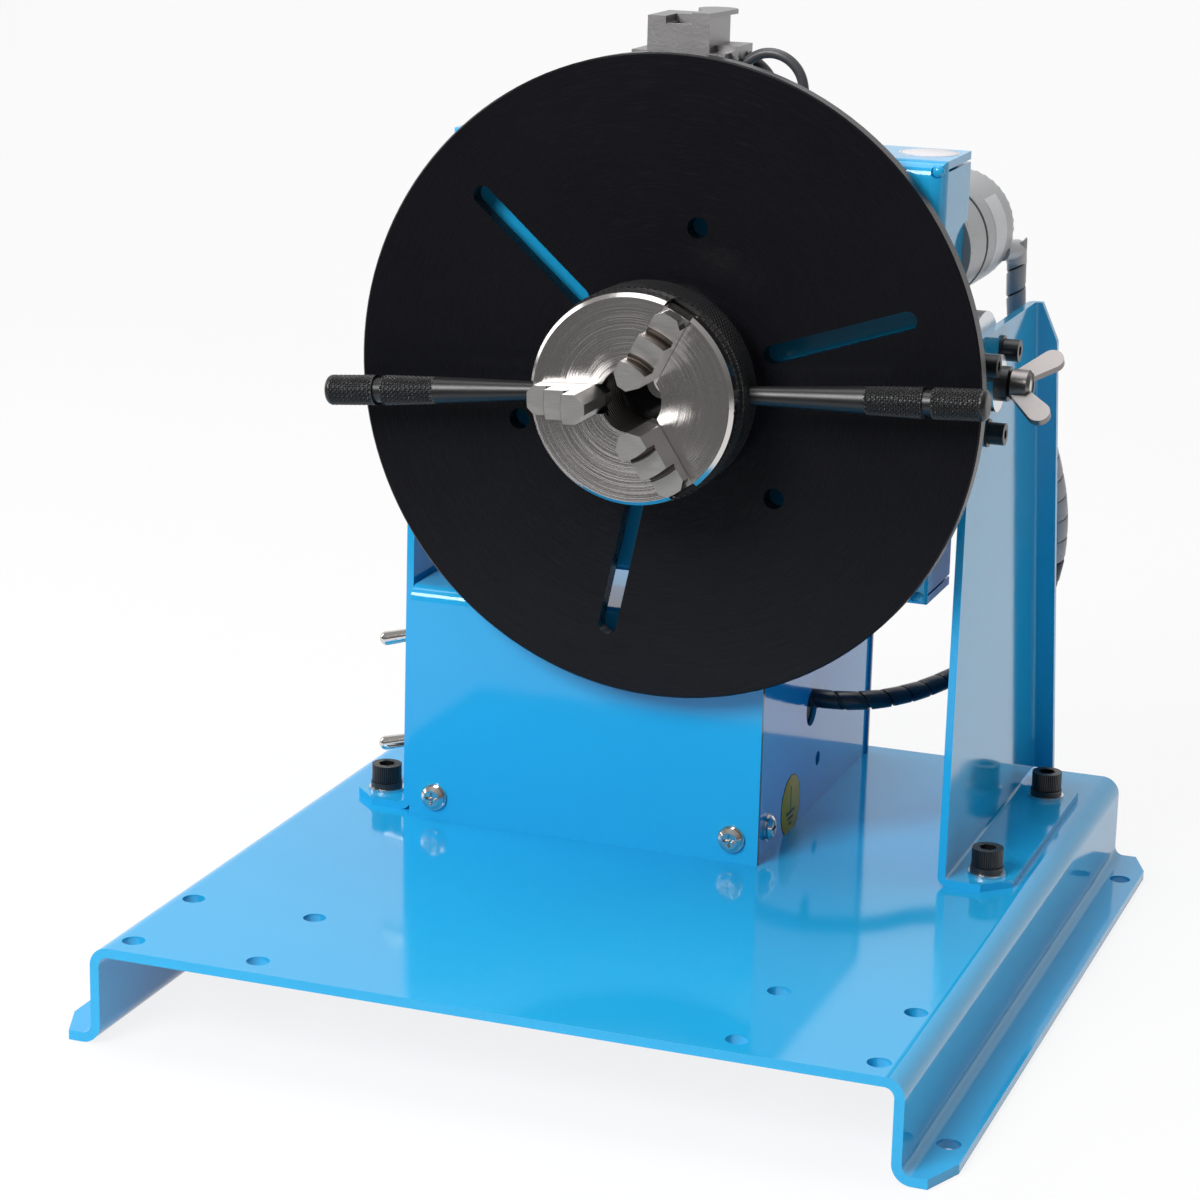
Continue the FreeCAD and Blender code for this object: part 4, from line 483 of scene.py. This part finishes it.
def jaw_steel():
    """Ground flats; the risers between the steps are painted dark brown, a painted reflection of the dark
    room round them.
    """
    finish = Finish("jaw_steel", (0.7, 0.685, 0.67), metallic=1.0, roughness=0.3)
    x, y, z = finish.split(finish.place())
    way, reach = outward(finish)
    facing = finish.facing()
    _, to_front, _ = finish.split(facing)
    dot = {"operation": "DOT_PRODUCT"}
    along = abs(finish.add("ShaderNodeVectorMath", dot, {0: facing, 1: way}, out=1))
    seen = y < front_y - out_of_slot
    band = 0.0
    for radius in riser_at:
        band = ((reach > radius - band_early) * (reach < radius + band_wide)).most(band)
    band = band * (to_front < -0.5).most(along > 0.7) * seen
    band = band.most((along > 0.75) * seen * (reach < end_to) * (reach > end_from))
    # Inside the slot the jaw is coloured darker: partly oil, partly painted shade of the slot.
    deep = finish.ramp(y, front_y - 0.0002, front_y + 0.0006)
    scratch = finish.noise(1.0, 2, 0.5, finish.join(x * 300, y * 300, z * 3000))
    lines = finish.noise(1.0, 1, 0.5, finish.join(reach * 2600, y * 2600, 0.0))
    bright = finish.mix(scratch, (0.58, 0.565, 0.55), (0.72, 0.705, 0.69))
    # Painted reflection: the risers are coloured dark brown with fine lines, as the dark room they mirror
    # would make them look.
    riser_painted_reflection = finish.mix(finish.ramp(lines, 0.42, 0.62), (0.022, 0.016, 0.013), (0.2, 0.17, 0.15))
    grease_and_painted_slot_shade = finish.mix(scratch, (0.12, 0.11, 0.1), (0.32, 0.3, 0.28))
    finish.set("Base Color", finish.mix(deep, finish.mix(band, bright, riser_painted_reflection), grease_and_painted_slot_shade))
    finish.set("Roughness", 0.28 + scratch * 0.12)
    finish.bump((scratch, 0.000006), (lines * band, 0.00004))
    return finish.material


# %% Knurled scroll ring
ring_low, ring_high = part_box("scroll_ring")
ring_radius = (ring_high[0] - ring_low[0]) / 2
ring_knurls, ring_knurl_pitch, ring_knurl_deep = 100, 0.0021, 0.0006


def scroll_black():
    """Black oxide with a diamond knurl rolled into the rim."""
    finish = Finish("scroll_black", (0.009, 0.009, 0.01), roughness=0.34, specular_ior_level=0.4)
    turns, radius, y = finish.around(1, spindle_at)
    rim = finish.ramp(radius, ring_radius - 0.0006, ring_radius - 0.0003)
    climb = y / ring_knurl_pitch
    diamond = (turns * ring_knurls + climb).zigzag().least((turns * ring_knurls - climb).zigzag())
    cloud = finish.noise(200, 4)
    finish.set("Base Color", finish.mix(cloud, (0.008, 0.008, 0.009), (0.02, 0.02, 0.021)))
    finish.set("Roughness", 0.28 + cloud * 0.16)
    finish.bump((diamond.least(0.7) * rim, ring_knurl_deep), (finish.noise(900, 3), 0.000006))
    return finish.material


chuck_finish, jaw_finish, scroll_finish = chuck_steel(), jaw_steel(), scroll_black()
print("chuck front at y", round(front_y * 1000, 1), "mm, ring radius", round(ring_radius * 1000, 1), "mm")


# %% [markdown]
# ## Cast, plated and blackened metals
#
# Plating follows the surface below it, so the grain of a metal says how the part was made: fine on bright
# zinc, soft and pebbly on a cast wing nut, coarse on sand-cast aluminium.

# %% Plain metals
def plain_metal(name, colour, rough, grain, depth, metallic=1.0):
    """A plated, cast or blackened metal: grain of a given fineness and depth."""
    finish = Finish(name, colour, metallic=metallic, roughness=rough)
    cloud = finish.noise(80, 4)
    darker = tuple(0.78 * part for part in colour)
    finish.set("Base Color", finish.mix(cloud, darker, colour))
    finish.set("Roughness", rough - 0.05 + cloud * 0.1)
    finish.bump((finish.noise(grain, 3, 0.6), depth))
    return finish.material


black_oxide = plain_metal("black_oxide_steel", (0.009, 0.009, 0.01), 0.34, 900, 0.000008, metallic=0.0)
zinc = plain_metal("zinc_plate", (0.72, 0.73, 0.74), 0.24, 700, 0.000004)
bright_nickel = plain_metal("bright_nickel", (0.76, 0.73, 0.7), 0.13, 200, 0.000004)
nickel = plain_metal("satin_nickel", (0.26, 0.242, 0.236), 0.34, 420, 0.00006)
cast_aluminium = plain_metal("cast_aluminium", (0.36, 0.35, 0.355), 0.46, 900, 0.00005)
bronze = plain_metal("bearing_bronze", (0.55, 0.38, 0.18), 0.35, 500, 0.000006)
gear_steel = plain_metal("cut_gear_steel", (0.5, 0.49, 0.47), 0.32, 500, 0.000006)
print("plain metals ready")


# %% Cap screws with knurled heads
head_ribs, head_rim, rib_deep = 44, 0.0049, 0.0003


def cap_screw(node):
    """Black oxide; the head's side has a straight knurl for the fingers."""
    low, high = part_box(node)
    centre = [(a + b) / 2 for a, b in zip(low, high)]
    finish = Finish(node + "_black", (0.006, 0.006, 0.007), roughness=0.3, specular_ior_level=0.4)
    turns, radius, _ = finish.around(2, centre)
    cloud = finish.noise(300, 3)
    head = finish.ramp(radius, head_rim - 0.00015, head_rim)
    finish.set("Base Color", finish.mix(cloud, (0.004, 0.004, 0.005), (0.01, 0.0095, 0.0095)))
    finish.set("Roughness", 0.24 + cloud * 0.14)
    finish.bump(((turns * head_ribs).zigzag() * head, rib_deep), (cloud, 0.00002))
    return finish.material


# %% Washer stacks
def washer_stack(name, axis, switch):
    """Bright zinc flat washers, and a blackened spring washer past switch along the axis."""
    finish = Finish(name, (0.72, 0.73, 0.74), metallic=1.0, roughness=0.25)
    along = finish.split(finish.place())[axis]
    black = along > switch
    cloud = finish.noise(150, 3)
    bright = finish.mix(cloud, (0.6, 0.61, 0.62), (0.75, 0.76, 0.77))
    finish.set("Base Color", finish.mix(black, bright, (0.016, 0.016, 0.017)))
    finish.set("Metallic", 1 - black)
    finish.set("Roughness", 0.2 + cloud * 0.1 + black * 0.1)
    finish.bump((finish.noise(700, 2), 0.000006))
    return finish.material


bolt_low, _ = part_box("bolt_washers_3")
bolt_switch = bolt_low[2] + 0.00104
bolt_stack = washer_stack("bolt_washer_stack", 2, bolt_switch)
_, clamp_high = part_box("clamp_washers_right")
clamp_switch = clamp_high[0] - 0.0032
clamp_stack = washer_stack("clamp_washer_stack", 0, clamp_switch)
print("washer stacks switch at z", round(bolt_switch / MM, 2), "and x", round(clamp_switch / MM, 2), "mm")


# %% [markdown]
# ## Paint, rubber and plastic
#
# The motor has a smooth grey enamel, with a black seam between its gearbox and its can, which is picked out
# by its place along the motor. The plastic and rubber skins differ in colour, gloss and grain alone.

# %% Skins
def moulded(name, colour, rough, grain=900, depth=0.00001):
    """A plastic, rubber or painted skin with a fine grain."""
    finish = Finish(name, colour, roughness=rough)
    cloud = finish.noise(50, 3)
    lighter = tuple(min(1, 1.15 * part + 0.002) for part in colour)
    finish.set("Base Color", finish.mix(cloud, colour, lighter))
    finish.set("Roughness", rough - 0.05 + cloud * 0.1)
    finish.bump((finish.noise(grain, 2), depth))
    return finish.material


box_low, box_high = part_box("motor_gearbox")
gearbox_radius = (box_high[0] - box_low[0]) / 2
motor_radius = gearbox_radius + 0.0003
motor_at = ((box_low[0] + box_high[0]) / 2, 0, (box_low[2] + box_high[2]) / 2)
seam_at, seam_wide, seam_spill, seam_inside = 0.0523, 0.0011, 0.0002, 0.0004


def motor_enamel():
    finish = Finish("motor_enamel", (0.31, 0.315, 0.325), roughness=0.3)
    _, radius, y = finish.around(1, motor_at)
    in_gap = abs(y - (seam_at + seam_wide / 2)) < seam_wide / 2 + seam_spill
    seam = in_gap * (radius < motor_radius - seam_inside)
    cloud = finish.noise(120, 3)
    grey = finish.mix(cloud, (0.29, 0.295, 0.305), (0.34, 0.345, 0.355))
    finish.set("Base Color", finish.mix(seam, grey, (0.005, 0.005, 0.005)))
    finish.set("Roughness", 0.24 + cloud * 0.1 + seam * 0.2)
    finish.bump((finish.noise(350, 2), 0.000006))
    return finish.material


enamel = motor_enamel()
elbow_grey = moulded("elbow_grey", (0.5, 0.5, 0.51), 0.35)
rubber = moulded("black_rubber", (0.012, 0.012, 0.013), 0.5)
lead_grey = moulded("lead_insulation", (0.06, 0.06, 0.066), 0.38, 300)
carbon = moulded("pressed_carbon", (0.012, 0.012, 0.013), 0.6, 1500, 0.00002)
phenolic = moulded("black_phenolic", (0.01, 0.01, 0.01), 0.3)
wrap_grey = moulded("grey_wrap", (0.33, 0.335, 0.35), 0.34)
wrap_black = moulded("black_wrap", (0.014, 0.017, 0.026), 0.28)
print("motor axis at x", round(motor_at[0] * 1000, 1), "z", round(motor_at[2] * 1000, 1), "mm")

# %% Give each CAD part its finish
finishes = {
    "table": table_black(), "chuck_body": chuck_finish, "chuck_back_plate": turned, "spindle": turned,
    "spindle_gear": gear_steel, "motor_pinion": gear_steel, "scroll_ring": scroll_finish,
    "brush_holder": cast_aluminium, "carbon_brush": carbon, "wing_nut": nickel,
    "motor_gearbox": enamel, "motor_can": enamel, "cable_grommet": rubber,
    "speed_knob": phenolic, "speed_potentiometer": phenolic, "motor_cable": wrap_black,
    "clamp_washers_right": clamp_stack, "hub_screws_left": black_oxide,
}
families = {
    "jaw_": jaw_finish, "tommy_bar": black_oxide, "bolt_washers": bolt_stack, "clamp_washers": zinc,
    "cover_screw": bright_nickel, "earth_screw": bright_nickel, "trunnion": zinc, "lock_nut": zinc,
    "base_nuts": zinc, "pivot_hub": zinc, "bearing": bronze, "toggle": bright_nickel,
    "brush_lead": lead_grey,
}
finishes.update({name: blue for name in blue_parts})
finishes["box_cover"] = cover_blue_painted_gap_shade
finishes.update({f"bracket_bolt_{k}": cap_screw(f"bracket_bolt_{k}") for k in (1, 2, 3, 4)})
finishes.update({f"hub_screw_right_{k}": black_oxide for k in (1, 2, 3)})
for name, item in nodes.items():
    matches = [finish for start, finish in families.items() if name.startswith(start)]
    item.data.materials.clear()
    item.data.materials.append(finishes[name] if name in finishes else matches[0])
print("finishes given to", len(nodes), "parts")


# %% [markdown]
# ## Knurls
#
# A knurl is rolled into the metal as two crossing sets of grooves. On a bar it changes the outline, so it is
# modelled: a turned surface whose radius depends on the distance along it and the angle round it.

# %% A turned surface with relief
def circle(radius, around):
    """The x and y of points evenly round a circle."""
    turns = (2 * math.pi * k / around for k in range(around))
    return [(radius * math.cos(turn), radius * math.sin(turn)) for turn in turns]


def skin(first, rows, around):
    """Faces between closed rows of points, which are numbered from first."""
    faces = []
    for row in range(rows - 1):
        for k in range(around):
            low, beside = first + row * around, (k + 1) % around
            faces.append((low + k, low + beside, low + around + beside, low + around + k))
    return faces


def turned_piece(name, body, finish, length, radius_at, around, along, matrix):
    """Skin a surface of revolution along +Z of the matrix; radius_at(z, angle) gives its radius in mm."""
    points = []
    for row in range(along + 1):
        z = length * row / along
        for column in range(around):
            angle = 2 * math.pi * column / around
            radius = radius_at(z, angle)
            points.append(matrix @ Vector((radius * math.cos(angle), radius * math.sin(angle), z)))
    faces = skin(0, along + 1, around)
    faces.append(tuple(reversed(range(around))))
    faces.append(tuple(range(along * around, (along + 1) * around)))
    return add_piece(name, body, finish, points, faces)


def add_piece(name, body, finish, points, faces):
    """Make a mesh from points in millimetres and let it ride on a body, if one is given."""
    mesh = bpy.data.meshes.new(name)
    mesh.from_pydata([Vector(point) * MM for point in points], [], faces)
    mesh.validate()
    mesh.materials.append(finish)
    piece = bpy.data.objects.new(name, mesh)
    bpy.context.scene.collection.objects.link(piece)
    for face in mesh.polygons:
        face.use_smooth = True
    mesh.set_sharp_from_angle(angle=math.radians(35))
    if body:
        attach(piece, body)
    return piece


def axis_matrix(origin, direction, side=Vector((0, 1, 0))):
    """A matrix in millimetres whose Z runs along a direction."""
    z = Vector(direction).normalized()
    y = (Vector(side) - z * z.dot(Vector(side))).normalized()
    x = y.cross(z)
    matrix = Matrix((x, y, z)).transposed().to_4x4()
    matrix.translation = Vector(origin)
    return matrix


def ridge(turns):
    """A ridge shape from 0 to 1: high in the middle of each turn."""
    return 1 - abs(2 * (turns - math.floor(turns)) - 1)


print("relief helpers ready")

# %% [markdown]
# ## Tommy bars
#
# The two black bars turn the chuck's scroll ring. Each is a slim shank that swells to a grip with a diamond
# knurl, a turned groove near its end and a rounded tip.

# %% Tommy bars
scroll_at = [part / MM for part in joints["scroll_turn"]["pos_m"]]
bar_low, bar_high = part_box("tommy_bar_right")
bar_y = (bar_low[1] + bar_high[1]) / 2 / MM
bar_start, shank_end, grip_start, bar_reach = 24.8, 34.5, 69.5, 106.5
shank_radius, taper_radius, grip_radius = 2.9, 4.3, 4.8
groove_start, groove_end, groove_deep = 87.2, 89.9, 0.9
tip_round = 1.6
knurl_count, knurl_pitch, knurl_deep, knurl_crest, knurl_fade = 20, 1.55, 0.5, 1.6, 0.8


def bar_radius(z, angle):
    """The radius of a bar at a distance z from the chuck's axis."""
    if z < shank_end:
        return shank_radius
    if z < grip_start:
        return shank_radius + (taper_radius - shank_radius) * (z - shank_end) / (grip_start - shank_end)
    swell = (z - grip_start) / (groove_start - grip_start)
    full = min(grip_radius, taper_radius + (grip_radius - taper_radius) * swell)
    if groove_start < z < groove_end:
        return full - groove_deep
    tip = bar_reach - z
    if tip < tip_round:
        return full - tip_round + math.sqrt(max(0, tip_round ** 2 - (tip_round - tip) ** 2))
    lean = z / knurl_pitch / knurl_count * 2 * math.pi
    first = ridge((angle + lean) * knurl_count / (2 * math.pi))
    second = ridge((angle - lean) * knurl_count / (2 * math.pi))
    edge = min(z - grip_start, tip - tip_round, abs(z - groove_start), abs(z - groove_end), knurl_fade)
    return full - knurl_deep * (1 - min(1, min(first, second) * knurl_crest)) * max(0, edge / knurl_fade)


def tommy_bar(name, node, degrees):
    angle = math.radians(degrees)
    way = Vector((math.cos(angle), 0, math.sin(angle)))
    start = Vector((scroll_at[0], bar_y, scroll_at[2])) + way * bar_start
    piece = turned_piece(name, "scroll_body", black_oxide, bar_reach - bar_start,
                         lambda z, turn: bar_radius(z + bar_start, turn), 160, 480, axis_matrix(start, way))
    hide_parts(node)
    return piece


tommy_bar("bar_right", "tommy_bar_right", 3)
tommy_bar("bar_left", "tommy_bar_left", 185)
print("two knurled bars at y", round(bar_y, 1), "mm")

# %% [markdown]
# ## The gear motor
#
# A small gear motor is a round gearbox and a slightly wider drawn can, with a black gasket in the seam
# between them. The can's far edge is crimped over its end plate, which leaves a row of shallow dents. Since
# all of it is round, one turned surface makes it: the dents are a change of radius with the angle. A bent
# tube with a ball at its corner makes the moulded elbow where the cable comes out.

# %% Motor
motor_start, motor_end = 32.0, 90.5
seam_from, seam_to = seam_at / MM, (seam_at + seam_wide) / MM
seam_deep, end_round = 1.3, 3.0
crimp_count, crimp_deep, crimp_from, crimp_to = 40, 0.4, 1.2, 5.2


def motor_profile(z, angle):
    """The motor's radius at a distance from the gearbox's front."""
    y = motor_start + z
    full = (gearbox_radius if y < seam_from else motor_radius) / MM
    if seam_from <= y <= seam_to:
        return full - seam_deep
    left = motor_end - y
    if left < end_round:
        full -= end_round - math.sqrt(max(0.0, end_round ** 2 - (end_round - left) ** 2))
    if crimp_from < left < crimp_to:
        fade = min(1, left - crimp_from, crimp_to - left)
        full -= crimp_deep * ridge(angle * crimp_count / (2 * math.pi)) * fade
    return full


origin = (motor_at[0] / MM, motor_start, motor_at[2] / MM)
motor = turned_piece("motor", "tilt_head", enamel, motor_end - motor_start, motor_profile, 240, 234,
                     axis_matrix(origin, (0, 1, 0), Vector((0, 0, 1))))
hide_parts("motor_gearbox", "motor_can")


# %% Cable elbow
def bent_tube(name, body, finish, corners, radius, around=28, ball_rows=12):
    """Straight tubes between corner points, with a ball at each inner corner."""
    points, faces = [], []
    spots = [Vector(corner) for corner in corners]
    for a, b in zip(spots, spots[1:]):
        matrix = axis_matrix(a, b - a, Vector((1, 0, 0)))
        first = len(points)
        for z in (0.0, (b - a).length):
            points += [matrix @ Vector((x, y, z)) for x, y in circle(radius, around)]
        faces += skin(first, 2, around)
        faces.append(tuple(reversed(range(first, first + around))))
        faces.append(tuple(range(first + around, first + 2 * around)))
    for spot in spots[1:-1]:
        first = len(points)
        for j in range(ball_rows + 1):
            up = math.pi * j / ball_rows
            height = -radius * math.cos(up)
            points += [spot + Vector((x, y, height)) for x, y in circle(radius * math.sin(up), around)]
        faces += skin(first, ball_rows + 1, around)
    return add_piece(name, body, finish, points, faces)


elbow_corners = [(85, 88.8, 221.6), (88.1, 96.7, 221.2), (88.3, 97, 216.8)]
elbow = bent_tube("cable_elbow", "tilt_head", elbow_grey, elbow_corners, 3.35)
print("motor from y", motor_start, "to", motor_end, "mm")

# %% [markdown]
# ## Corner beads
#
# A box bent from one sheet needs a small round hole at each corner, or the metal would tear where two bends
# meet. The paint has bridged these holes, and it leaves a smooth round bead in each.

# %% Corner beads
bead_radius, bead_dome, bead_sunk, bead_long = 1.94, 1.6, 0.5, 6.0
pan_low, pan_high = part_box("tilt_pan")


def bead_profile(z, angle):
    """A dome that runs into a plain stem."""
    return bead_radius * math.sqrt(max(0.0, 1 - (1 - min(z, bead_dome) / bead_dome) ** 2)) + 0.01


for x, in_x in ((pan_low[0] / MM, 2.5), (pan_high[0] / MM, -2.5)):
    for z, in_z in ((pan_low[2] / MM, 2.9), (pan_high[2] / MM, -2.9)):
        corner = (x + in_x, pan_low[1] / MM + bead_sunk, z + in_z)
        where = ("left" if in_x > 0 else "right") + ("_low" if in_z > 0 else "_high")
        bead = turned_piece("corner_bead_" + where, "tilt_head", blue, bead_long, bead_profile, 32, 40,
                            axis_matrix(corner, (0, 1, 0), Vector((0, 0, 1))))
print("four painted beads in the corners of the tilting box")

# %% [markdown]
# ## Stickers
#
# Three stickers are thin vinyl laid on a surface: a blank pale label wrapped on the motor, a blank pale
# disc on top of the tilting box, and the yellow disc with the common earth symbol beside the earth screw.
# They are cut as their own thin pieces, a tenth of a millimetre proud. The symbol is drawn by the finish.

# %% Sticker finishes
def vinyl(name, colour, rim_at=None, centre=(0, 0, 0)):
    """Smooth vinyl, with a thin grey printed line near the rim of a round one."""
    finish = Finish(name, colour, roughness=0.3)
    cloud = finish.noise(90, 3)
    paper = finish.mix(cloud, tuple(0.94 * part for part in colour), colour)
    if rim_at:
        _, radius, _ = finish.around(2, centre)
        paper = finish.mix(abs(radius - rim_at) < 0.00018, paper, tuple(0.45 * part for part in colour))
    finish.set("Base Color", paper)
    finish.set("Roughness", 0.24 + cloud * 0.12)
    finish.bump((finish.noise(60, 2), 0.00004))
    return finish.material


def earth_vinyl(centre, size):
    """Yellow with a black earth symbol: an upright and three bars, each shorter than the one above."""
    finish = Finish("earth_sign_vinyl", (0.85, 0.43, 0.045), roughness=0.45, specular_ior_level=0.25)
    _, y, z = finish.split(finish.place())
    across, up = abs(y - centre[1]), z - centre[2]
    upright = (across < 0.00055) * (up > -0.0018) * (up < 0.0068)
    bars = upright
    for middle_z, half in ((-0.0022, 0.0047), (-0.0042, 0.0031), (-0.0061, 0.0015)):
        bars = bars.most((across < half) * (abs(up - middle_z) < 0.00052))
    _, radius, _ = finish.around(0, centre)
    bars = bars.most(radius > size / 2 - 0.0004)
    cloud = finish.noise(120, 3)
    yellow = finish.mix(cloud, (0.8, 0.41, 0.04), (0.9, 0.47, 0.055))
    finish.set("Base Color", finish.mix(bars, yellow, (0.012, 0.011, 0.01)))
    finish.set("Roughness", 0.4 + cloud * 0.1)
    finish.bump((finish.noise(70, 2), 0.00003))
    return finish.material


# %% Lay the stickers
vinyl_thick, vinyl_edge, disc_sides = 0.1, 0.06, 72


def disc_sticker(name, body, finish, centre, normal, side, diameter):
    """A round sticker a tenth of a millimetre thick, with a chamfered edge."""
    matrix = axis_matrix(centre, normal, side)
    edge = diameter / 2
    rows = [(edge, 0.0), (edge, 0.6 * vinyl_thick), (edge - vinyl_edge, vinyl_thick)]
    points = [matrix @ Vector((x, y, rise)) for radius, rise in rows for x, y in circle(radius, disc_sides)]
    faces = skin(0, len(rows), disc_sides)
    faces.append(tuple(range((len(rows) - 1) * disc_sides, len(rows) * disc_sides)))
    return add_piece(name, body, finish, points, faces)


def wrapped_label(name, body, finish, axis_at, radius, first, last, front, back):
    """A rectangular label bent round a can, between two angles and two places along its axis."""
    steps = 40
    points = []
    for lift, inset in ((0.0, 0.0), (vinyl_thick, vinyl_edge)):
        for k in range(steps + 1):
            angle = math.radians(first + (last - first) * k / steps)
            for y in (front + inset, back - inset):
                points.append((axis_at[0] + (radius + lift) * math.cos(angle), y,
                               axis_at[1] + (radius + lift) * math.sin(angle)))
    layer = 2 * (steps + 1)
    faces = []
    for k in range(steps):
        a, b = 2 * k, 2 * k + 2
        faces.append((layer + a, layer + a + 1, layer + b + 1, layer + b))
        faces.append((a, layer + a, layer + b, b))
        faces.append((layer + a + 1, a + 1, b + 1, layer + b + 1))
    faces.append((0, 1, layer + 1, layer))
    faces.append((2 * steps, layer + 2 * steps, layer + 2 * steps + 1, 2 * steps + 1))
    return add_piece(name, body, finish, points, faces)


earth_at = (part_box("box_chassis")[1][0], 0.0426, 0.0396)
earth_size = 0.0212
earth_finish = earth_vinyl(earth_at, earth_size)
earth = disc_sticker("earth_sign", "stand", earth_finish, [part / MM for part in earth_at], (1, 0, 0),
                     (0, 0, 1), earth_size / MM)
round_at = (0.0756, 0.0262, pan_high[2])
pale = (0.72, 0.7, 0.73)
round_finish = vinyl("round_label_vinyl", pale, 0.0086, round_at)
round_label = disc_sticker("round_label", "tilt_head", round_finish, [part / MM for part in round_at],
                           (0, 0, 1), (0, 1, 0), 18.6)
label_finish = vinyl("motor_label_vinyl", (0.6, 0.61, 0.64))
label = wrapped_label("motor_label", "tilt_head", label_finish, (motor_at[0] / MM, motor_at[2] / MM),
                      motor_radius / MM, 41, -33, 63.5, 78)
print("stickers:", earth.name, round_label.name, label.name)

# %% [markdown]
# ## Cables
#
# The motor's cable leaves its elbow, hangs behind the right bracket and enters the side of the control box.
# It is bundled in spiral wrap, a plastic strip wound with a small gap: grey near the motor, black near the
# box. The path is a smooth NURBS curve through a few control points, and the strip is a thin shell that
# follows points read from that curve.

# %% A smooth path through control points
def smooth_path(name, points):
    """A NURBS curve object along control points in millimetres."""
    curve = bpy.data.curves.new(name, "CURVE")
    curve.dimensions = "3D"
    curve.resolution_u = 16
    spline = curve.splines.new("NURBS")
    spline.points.add(len(points) - 1)
    for point, spot in zip(points, spline.points):
        spot.co = (*(Vector(point) * MM), 1)
    spline.order_u = 3
    spline.use_endpoint_u = True
    item = bpy.data.objects.new(name, curve)
    bpy.context.scene.collection.objects.link(item)
    return item


def read_path(item):
    """Points along a curve that has no bevel, in metres."""
    bpy.context.view_layer.update()
    mesh = bpy.data.meshes.new_from_object(item)
    spots = [vertex.co.copy() for vertex in mesh.vertices]
    bpy.data.meshes.remove(mesh)
    return spots


def frames_along(spots):
    """A point, a side and another side at each step, turning as little as possible."""
    found = []
    side = Vector((1, 0, 0))
    for k, spot in enumerate(spots):
        ahead = spots[min(k + 1, len(spots) - 1)] - spots[max(k - 1, 0)]
        ahead.normalize()
        side = (side - ahead * side.dot(ahead)).normalized()
        found.append((spot, side.copy(), ahead.cross(side)))
    return found


motor_route = [(88.3, 97, 221.5), (88.3, 97.3, 207), (89.5, 100.5, 191), (93.5, 107.5, 172),
               (98.5, 119, 150), (101, 131, 126), (98.5, 134, 100), (88, 119, 80), (69.7, 90, 72),
               (58.8, 73.2, 71.2), (50.5, 66.8, 71), (41, 63.5, 71), (31, 63.5, 71)]
route = smooth_path("motor_cable_path", motor_route)
cable_spots = read_path(route)
bpy.data.objects.remove(route)


# %% Spiral wrap
def evenly(spots, step):
    """The same line with points an even step apart."""
    out = [spots[0]]
    carried = 0.0
    for a, b in zip(spots, spots[1:]):
        span = (b - a).length
        while carried + span >= step:
            a = a + (b - a) * ((step - carried) / span)
            out.append(a.copy())
            span = (b - a).length
            carried = 0.0
        carried += span
    out.append(spots[-1])
    return out


def tube_rows(spots, radius, around):
    rows = []
    for spot, side, other in frames_along(spots):
        rows.append([spot + (side * x + other * y) * radius for x, y in circle(1.0, around)])
    return rows


strip_thick, strip_edge = 0.0006, 0.00015


def wrapped_cable(name, spots, radius, pitch, strip, switch_z):
    """A core tube inside a wound strip; the strip is grey above switch_z and black below."""
    strip_step, core_step, around = 0.0006, 0.002, 20
    fine, core = evenly(spots, strip_step), evenly(spots, core_step)
    points = [point for row in tube_rows(core, radius - strip_thick, around) for point in row]
    faces = skin(0, len(core), around)
    faces.append(tuple(reversed(range(around))))
    faces.append(tuple(range((len(core) - 1) * around, len(core) * around)))
    slots = [2] * len(faces)
    bars = []
    for k, (spot, side, other) in enumerate(frames_along(fine)):
        turn = 2 * math.pi * k * strip_step / pitch
        out = side * math.cos(turn) + other * math.sin(turn)
        bars.append((spot, out, side.cross(other)))
    profile = [(-0.5, -strip_thick), (-0.5, -strip_edge), (-0.42, 0.0), (0.42, 0.0), (0.5, -strip_edge),
               (0.5, -strip_thick)]
    start = len(points)
    for spot, out, ahead in bars:
        for along, depth in profile:
            points.append(spot + out * (radius + depth) + ahead * (along * strip))
    for row in range(len(bars) - 1):
        tone = 0 if bars[row][0].z > switch_z else 1
        for k in range(len(profile) - 1):
            low, high = start + row * len(profile), start + (row + 1) * len(profile)
            faces.append((low + k, high + k, high + k + 1, low + k + 1))
            slots.append(tone)
    piece = add_piece(name, None, wrap_grey, [point / MM for point in points], faces)
    piece.data.materials.append(wrap_black)
    piece.data.materials.append(rubber)
    for face, tone in zip(piece.data.polygons, slots):
        face.material_index = tone
    return piece


cable = wrapped_cable("wrapped_motor_cable", cable_spots, 0.0032, 0.0082, 0.0076, 0.112)
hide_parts("motor_cable")
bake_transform(cable)
print("wrapped cable:", len(cable.data.polygons), "faces")


# %% Brush leads
def lead(name, node, points, wide):
    item = smooth_path(name, points)
    spots = read_path(item)
    length = sum((b - a).length for a, b in zip(spots, spots[1:]))
    item.data.bevel_depth = wide / 2 * MM
    item.data.bevel_resolution = 6
    item.data.materials.append(lead_grey)
    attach(item, "tilt_head")
    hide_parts(node)
    return round(length * 1000, 1)


outer_route = [(18, 16, 284), (22.1, 16, 287.44), (27.33, 16, 288.55), (32.47, 16, 287.08),
               (36.32, 16.3, 283.36), (37.97, 16.6, 278.27), (38.3, 16.8, 269.1), (38.3, 16.8, 260.2)]
inner_route = [(18, 21.5, 286.6), (22.6, 21.5, 283.9), (26.2, 21.7, 279.6), (28.2, 22, 274.3),
               (28.6, 22, 267.2), (28.6, 22, 260.2)]
print("brush leads:", lead("lead_outer", "brush_lead_1", outer_route, 3.2), "and",
      lead("lead_inner", "brush_lead_2", inner_route, 3.2), "mm")
